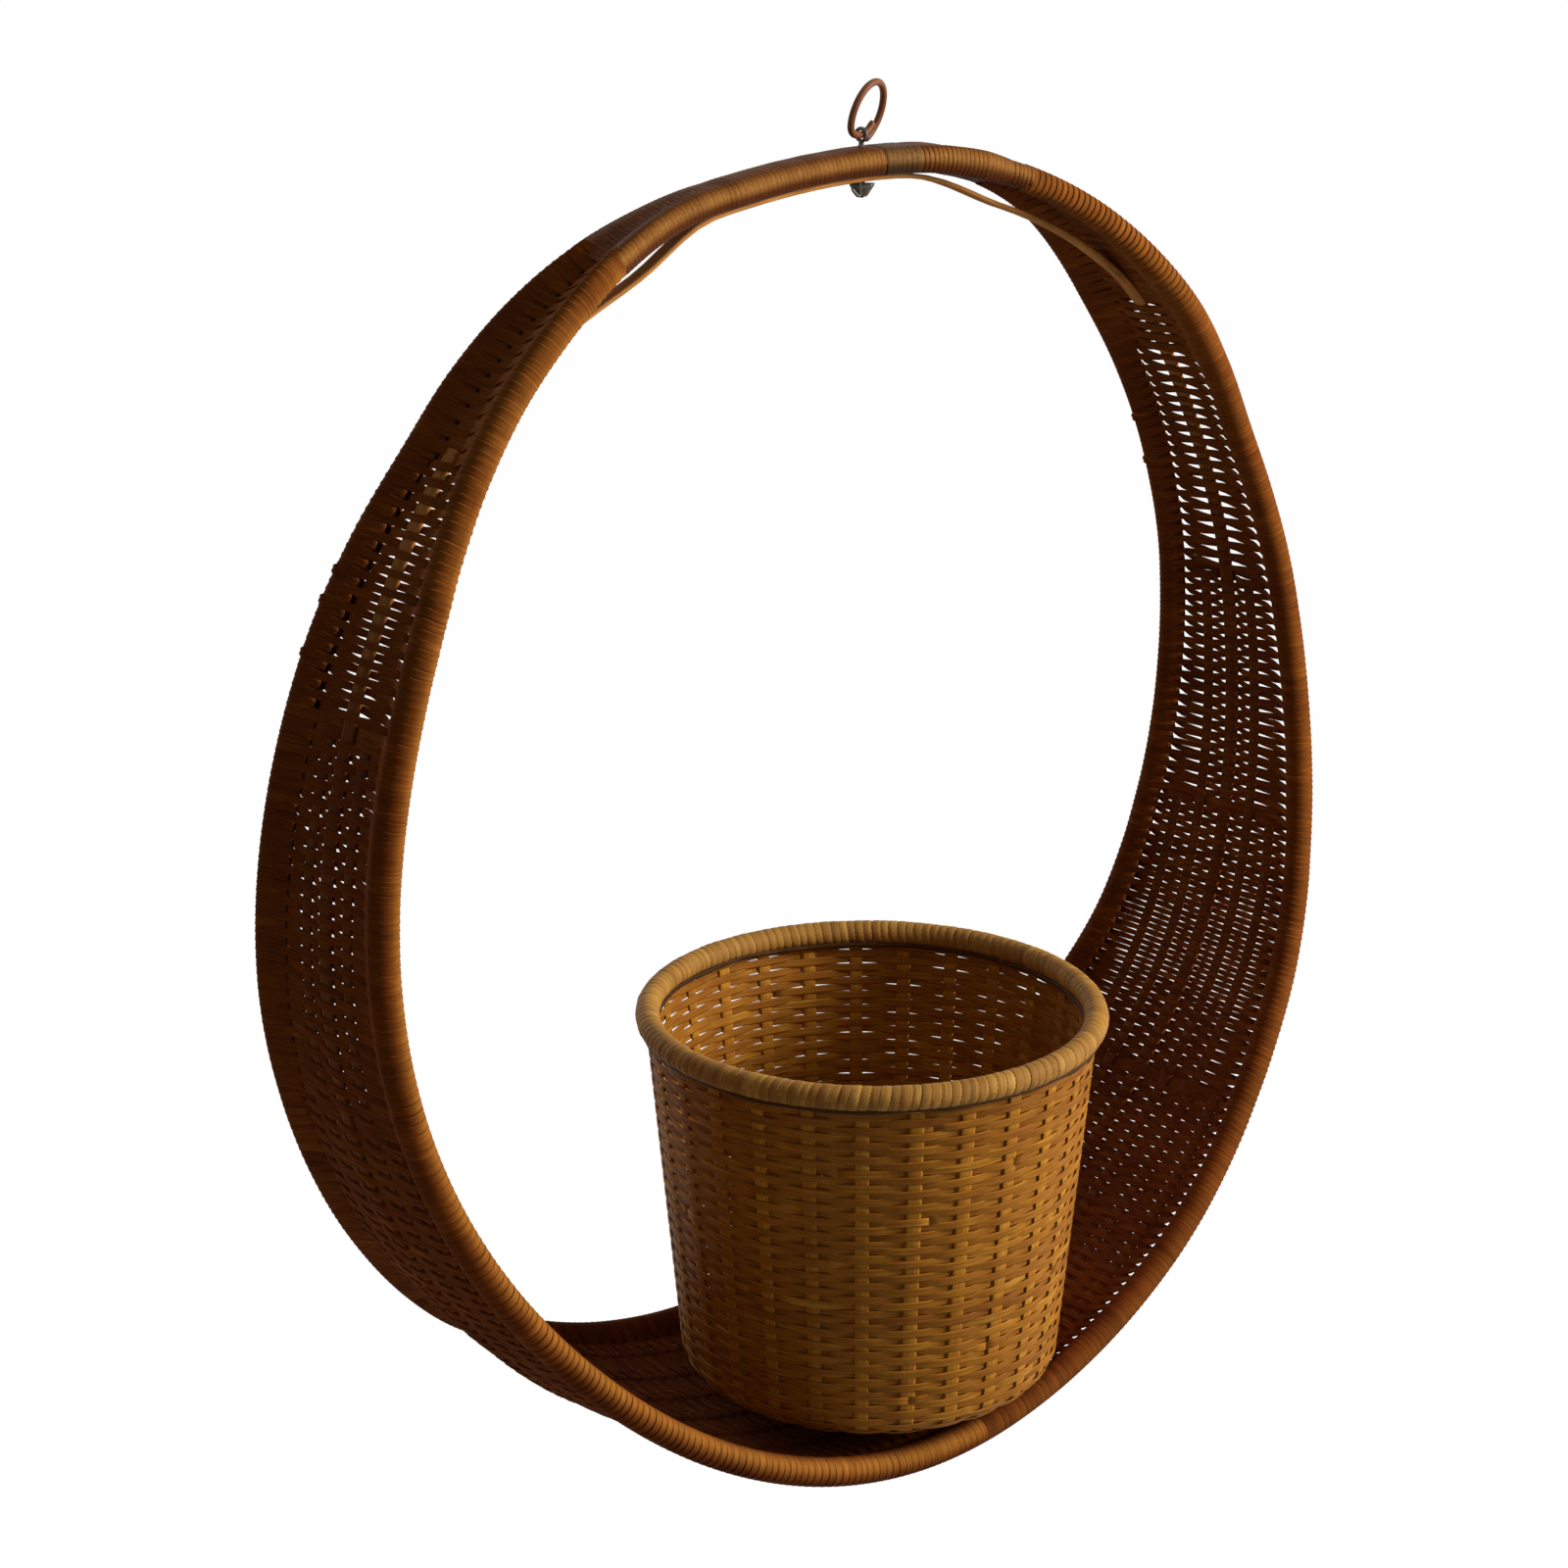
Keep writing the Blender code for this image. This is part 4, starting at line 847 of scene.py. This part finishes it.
# dark canes under the rim, outside and inside; their dark tone is painted shade for the shadow under the rim
shadeCane = {"out": 3.7 * mm, "inset": 0.7 * mm, "outDrift": 0.3 * mm, "drop": 0.86, "dropDrift": 0.5 * mm,
        "width": 2.4 * mm, "thick": 1.4 * mm, "steps": 240, "tone": -0.4, "toneDrift": 0.3}
shadeCanes = []
for side in (-1, 1):
    turn = np.linspace(0, math.tau, shadeCane["steps"] + 1)[:-1]
    spotRadius = (rimMiddleRadius - shadeCane["inset"]
                  + side * (shadeCane["out"] + shadeCane["outDrift"] * smoothNoise(turn * 9, 51 + side)))
    spotHeight = (rimHeight - rim["radius"] * shadeCane["drop"]
                  + shadeCane["dropDrift"] * smoothNoise(turn * 6, 55 + side))
    tone = shadeCane["tone"] + shadeCane["toneDrift"] * smoothNoise(turn * 20, 58)
    shadeCanes.append(dict(points=roundSpot(spotRadius, spotHeight, turn), width=shadeCane["width"], tone=tone,
                      across=np.tile([0.0, 0.0, 1.0], (shadeCane["steps"], 1)), thick=shadeCane["thick"]))
strandMesh("rimShadeCanes", shadeCanes, flatSection, "dark_strand", "basket", closed=True)
print("basket base and rim")


# ring and wire: smooth copies of the CAD pieces

def smoothCopy(node, title, slotName, body, levels, swell):
    copy = nodes[node].copy()
    copy.data = nodes[node].data.copy()
    copy.name = title
    copy.parent = None
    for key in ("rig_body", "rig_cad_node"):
        del copy[key]
    bpy.context.scene.collection.objects.link(copy)
    bpy.context.view_layer.objects.active = copy
    copy.select_set(True)
    bpy.ops.object.mode_set(mode="EDIT")
    bpy.ops.mesh.select_all(action="SELECT")
    bpy.ops.mesh.remove_doubles(threshold=0.01 * mm)
    bpy.ops.mesh.tris_convert_to_quads(face_threshold=math.radians(40), shape_threshold=math.radians(60))
    bpy.ops.transform.shrink_fatten(value=swell)
    bpy.ops.object.mode_set(mode="OBJECT")
    smooth = copy.modifiers.new("smooth", "SUBSURF")
    smooth.levels = smooth.render_levels = levels
    bpy.ops.object.modifier_apply(modifier="smooth")
    bpy.ops.object.shade_smooth()
    copy.select_set(False)
    copy.data.materials.clear()
    copy.data.materials.append(finishes[slotName])
    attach(copy, body)
    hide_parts(node)
    return copy


copies = {"levels": 2, "ringSwell": 0.12 * mm, "wireSwell": 0.25 * mm}
smoothCopy("hang_ring", "hangRing", "ring_cane", "ring", copies["levels"], copies["ringSwell"])
wire = smoothCopy("hanger_wire", "hangerWire", "iron_wire", "hoop", copies["levels"], copies["wireSwell"])

# tip: the wire's folded ends lie closer under the lath than the CAD's, and close to a point
tip = {"height": 6.3 * mm, "squeeze": 0.85, "thick": 2.6 * mm, "turn": math.radians(-40), "tone": 0.3,
       "widths": (12.0 * mm, 10.5 * mm, 5.6 * mm, 1.6 * mm), "depths": (0, 0.30, 0.68, 1.04)}
wireLow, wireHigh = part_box("hanger_wire")
tipTop = wireLow.z + tip["height"] / tip["squeeze"]
for corner in wire.data.vertices:
    if corner.co.z < tipTop:
        corner.co.z = tipTop - (tipTop - corner.co.z) * tip["squeeze"]
tipStart = Vector(((wireLow.x + wireHigh.x) / 2, (wireLow.y + wireHigh.y) / 2, tipTop))
tipPoints = np.array([tipStart - Vector((0, 0, depth * tip["height"])) for depth in tip["depths"]])
tipStrand = dict(points=tipPoints, across=np.array([math.cos(tip["turn"]), math.sin(tip["turn"]), 0.0]),
                 width=np.array(tip["widths"]), thick=tip["thick"], tone=tip["tone"])
strandMesh("wireTip", [tipStrand], flatSection, "iron_wire", "hoop")

# poles and rim core stay the CAD's, under their bindings
for node in ("front_rim", "rear_rim", "rim_core"):
    nodes[node].data.materials.clear()
    nodes[node].data.materials.append(finishes["rattan_pole"])
print("ring and wire")


# floor, light and camera

stage = {"floor": -1.45, "size": 14.0, "floorColour": (0.62, 0.62, 0.62, 1), "floorWhite": 1.075,
         "floorShown": 0.92, "ambient": 0.09, "key": 49.0, "fill": 3.0, "back": 12.0,
         "target": (0.0, 0.0, -0.36)}
view = {"place": (-0.929902, -1.066874, 0.121634), "down": 0.31, "heading": -0.6916, "lens": 71.23,
        "shiftX": -0.00635, "shiftY": 0.005725, "clip": 0.05}
white = (1, 1, 1, 1)


def seenDirectly(finish):
    # camera, glossy and transmission rays meet the white background
    kinds = ("Camera", "Glossy", "Transmission")
    rays = [finish.node("LightPath", {}, {}, f"Is {kind} Ray") for kind in kinds]
    return (rays[0] + rays[1] + rays[2]).limit()


bpy.ops.mesh.primitive_plane_add(size=stage["size"], location=(0, 0, stage["floor"]))
floor = bpy.context.object
floor.name = "studioFloor"
pale = Finish(bpy.data.materials.new("studioFloor"))
matt = pale.node("BsdfDiffuse", {}, {"Color": stage["floorColour"]})
bright = pale.node("Emission", {}, {"Color": white, "Strength": stage["floorWhite"]})
floor.data.materials.append(pale.close(pale.node("MixShader", {}, {
    0: seenDirectly(pale) * stage["floorShown"], 1: matt, 2: bright})))

bpy.context.scene.world = bpy.data.worlds.new("studio")
sky = Finish(bpy.context.scene.world)
soft = sky.node("Background", {}, {"Color": white, "Strength": stage["ambient"]})
plainSky = sky.node("Background", {}, {"Color": white, "Strength": 1.0})
sky.close(sky.node("MixShader", {}, {0: seenDirectly(sky), 1: soft, 2: plainSky}), "OutputWorld")

target = Vector(stage["target"])


def softLight(name, towards, distance, size, power):
    spot = target + Vector(towards).normalized() * distance
    bpy.ops.object.light_add(type="AREA", location=spot)
    lamp = bpy.context.object
    lamp.name = name
    lamp.rotation_euler = (target - spot).to_track_quat("-Z", "Y").to_euler()
    lamp.data.size = size
    lamp.data.energy = power


cameraRight = Vector((math.cos(view["heading"]), math.sin(view["heading"]), 0.0))
softLight("keyLight", cameraRight + Vector((0.0, -0.12, 0.45)), 1.9, 0.9, stage["key"])
softLight("fillLight", (-0.8, -1.0, 0.9), 2.6, 1.8, stage["fill"])
softLight("backLight", (0.0, 1.0, 0.3), 2.4, 1.4, stage["back"])

camera = bpy.data.objects.new("camera", bpy.data.cameras.new("camera"))
bpy.context.scene.collection.objects.link(camera)
camera.location = view["place"]
camera.rotation_euler = (math.pi / 2 - view["down"], 0, view["heading"])
camera.data.lens = view["lens"]
camera.data.shift_x = view["shiftX"]
camera.data.shift_y = view["shiftY"]
camera.data.clip_start = view["clip"]
bpy.context.scene.camera = camera
bpy.context.scene.view_settings.view_transform = "Standard"
print("stage")
